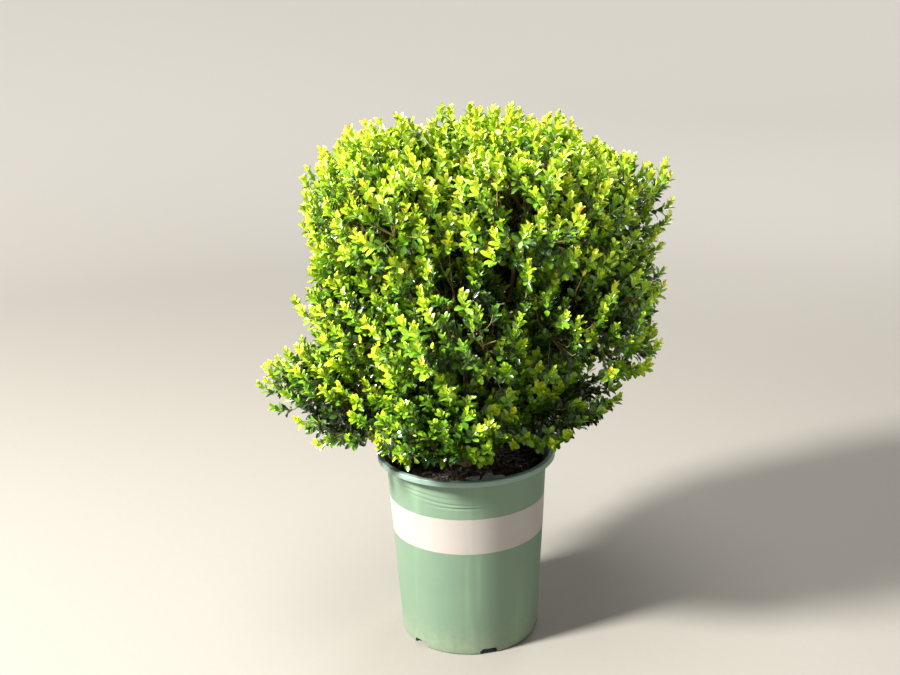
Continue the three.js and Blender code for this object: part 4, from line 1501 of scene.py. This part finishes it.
def leaves_of(mass, rng):
    """All the leaves of a mass as points and faces, with the shoot and rank of each pair."""
    shoot, rank, base, way, turn, pairs = leaf_pairs(mass, rng)
    side = unit(np.cross(way, SIDE_WAY))
    over = np.cross(way, side)
    both = []
    for opposite in (0, math.pi):
        angle = (turn + opposite)[:, None]
        sideways = side * np.cos(angle) + over * np.sin(angle)
        frames = leaf_frames(way, sideways, rank, rng)
        sizes = leaf_sizes(rank, pairs, rng)
        bends = rng.integers(0, len(LEAF_SHAPES), len(rank))
        both.append((LEAF_SHAPES[bends], frames, base + sideways * LEAF_STAND_OFF, sizes))
    shapes, frames, feet, sizes = [np.concatenate(parts) for parts in zip(*both, strict=True)]
    return *copies(shapes, LEAF_FACES, frames, feet, sizes), shoot, rank


for mass in MASSES:
    mass["rng"] = np.random.default_rng(FOLIAGE_SEED * 2 + mass["seed"])
    mass["leaves"] = leaves_of(mass, mass["rng"])
leaf_total = sum(len(mass["leaves"][1]) for mass in MASSES) // len(LEAF_FACES)
print(leaf_total, "leaves")

# %% [markdown]
# Shoots that reach furthest out and up get paler tints, partly because their leaves are young and
# partly as painted light, and shoots deep inside get darker ones, partly for age and partly as
# painted shade. The left side, the shoulders and the low left of this shrub are painted paler, as
# lit, and the middle is painted darker, as in shade. The lamps alone would shade it too evenly, so
# this light and shade is painted into the tints.

# %% Age and painted light in the crown
# Out and up: paler, for young leaves and as painted light; deep inside: darker, partly painted
# shade.
LIGHT_OUT, OUT_FROM, OUT_SPAN = 2.3, 0.6, 0.4
LIGHT_UP, UP_FROM, UP_SPAN = 2.1, 0.42, 0.38
# Painted light: the left side, where the light falls from, gets paler tints.
PAINTED_LIGHT_LEFT, LEFT_SPAN = 0.5, 0.3
# Painted shade in the middle, painted light on both shoulders and the low left.
PAINTED_LIGHT_PLACES = [
    dict(middle=(0.055, 0.575), reach=(0.13, 0.07), light=-1.0),
    dict(middle=(0.14, 0.735), reach=(0.10, 0.055), light=0.9),
    dict(middle=(-0.10, 0.735), reach=(0.16, 0.06), light=0.4),
    dict(middle=(-0.20, 0.44), reach=(0.08, 0.06), light=0.5),
]


def age_and_painted_light_at(tip, out):
    """Steps of paler tint at each shoot's tip: for its age, and as painted light and shade."""
    light = LIGHT_OUT * (out - OUT_FROM) / OUT_SPAN
    light = light + LIGHT_UP * (tip[:, 2] - UP_FROM) / UP_SPAN - PAINTED_LIGHT_LEFT * tip[:, 0] / LEFT_SPAN
    for place in PAINTED_LIGHT_PLACES:
        away = (tip[:, ::2] - place["middle"]) / place["reach"]
        light += place["light"] * np.exp(-(away**2).sum(1))
    return light


for mass in MASSES:
    mass["light"] = age_and_painted_light_at(*mass["shoots"][2:])
lights = np.concatenate([mass["light"] for mass in MASSES])
print("light from", round(lights.min(), 1), "to", round(lights.max(), 1), "steps of tint")

# %% [markdown]
# The newest leaves are yellow, and leaves darken with age; the painted light and shade above also
# make them paler or darker. A box leaf is as glossy as if it were oiled. Its colour could come from
# a texture, but a leaf is nearly one colour, so one plain colour is dealt out to each leaf, by its
# shoot.

# %% Leaf colours
LEAF_TINTS = {
    "leaf_flush": (0xE2CE3C, 0.36),
    "leaf_lime": (0xD3DC3A, 0.33),
    "leaf_fresh": (0xB8D42D, 0.31),
    "leaf_bright": (0x97BD24, 0.3),
    "leaf_mid": (0x6D9A1E, 0.29),
    "leaf_full": (0x487319, 0.28),
    "leaf_deep": (0x2B4C12, 0.28),
    "leaf_old": (0x17300C, 0.3),
}
LEAF_GLOSS = 0.75
TINT_AT_TIP, TINT_SPREAD, TINT_PER_PAIR, TINT_JITTER = 4.0, 0.9, 0.58, 0.4
FLUSH_SHARE, YOUNGEST_TINT = 0.04, 0.8
TINT_PATCH, TINT_PATCHES = 140 * MM, 0.8


def tints_of(mass, shoot, rank, rng):
    """The tint of each leaf: its shoot's own, with its painted light and shade, and darker for each
    pair below the tip.
    """
    tip, out = mass["shoots"][2:]
    patches = TINT_PATCHES * rolling(tip, TINT_PATCH, FOLIAGE_SEED)
    # The mass's light holds painted light and shade as well as the shoots' age.
    first = TINT_AT_TIP - mass["light"] + patches + rng.normal(0, TINT_SPREAD, len(out))
    flush = rng.random(len(out)) < FLUSH_SHARE
    first = np.maximum(first, np.where(flush, 0, YOUNGEST_TINT))
    twice = []
    for _ in range(2):
        aged = first[shoot] + rank * TINT_PER_PAIR + rng.normal(0, TINT_JITTER, len(rank))
        twice.append(np.clip(np.round(aged), 0, len(LEAF_TINTS) - 1))
    return np.concatenate(twice)


leaf_finishes = []
for name, (colour, roughness) in LEAF_TINTS.items():
    blade = Finish(name, base_color=linear(colour), roughness=roughness)
    blade.set("Specular IOR Level", LEAF_GLOSS)
    leaf_finishes.append(blade)
for mass in MASSES:
    points, faces, shoot, rank = mass["leaves"]
    worn = np.repeat(tints_of(mass, shoot, rank, mass["rng"]), len(LEAF_FACES))
    piece = add_mesh("leaves_" + mass["name"], points, faces, leaf_finishes, worn)
    settle(piece, "foliage", "foliage_" + mass["name"])

# %% [markdown]
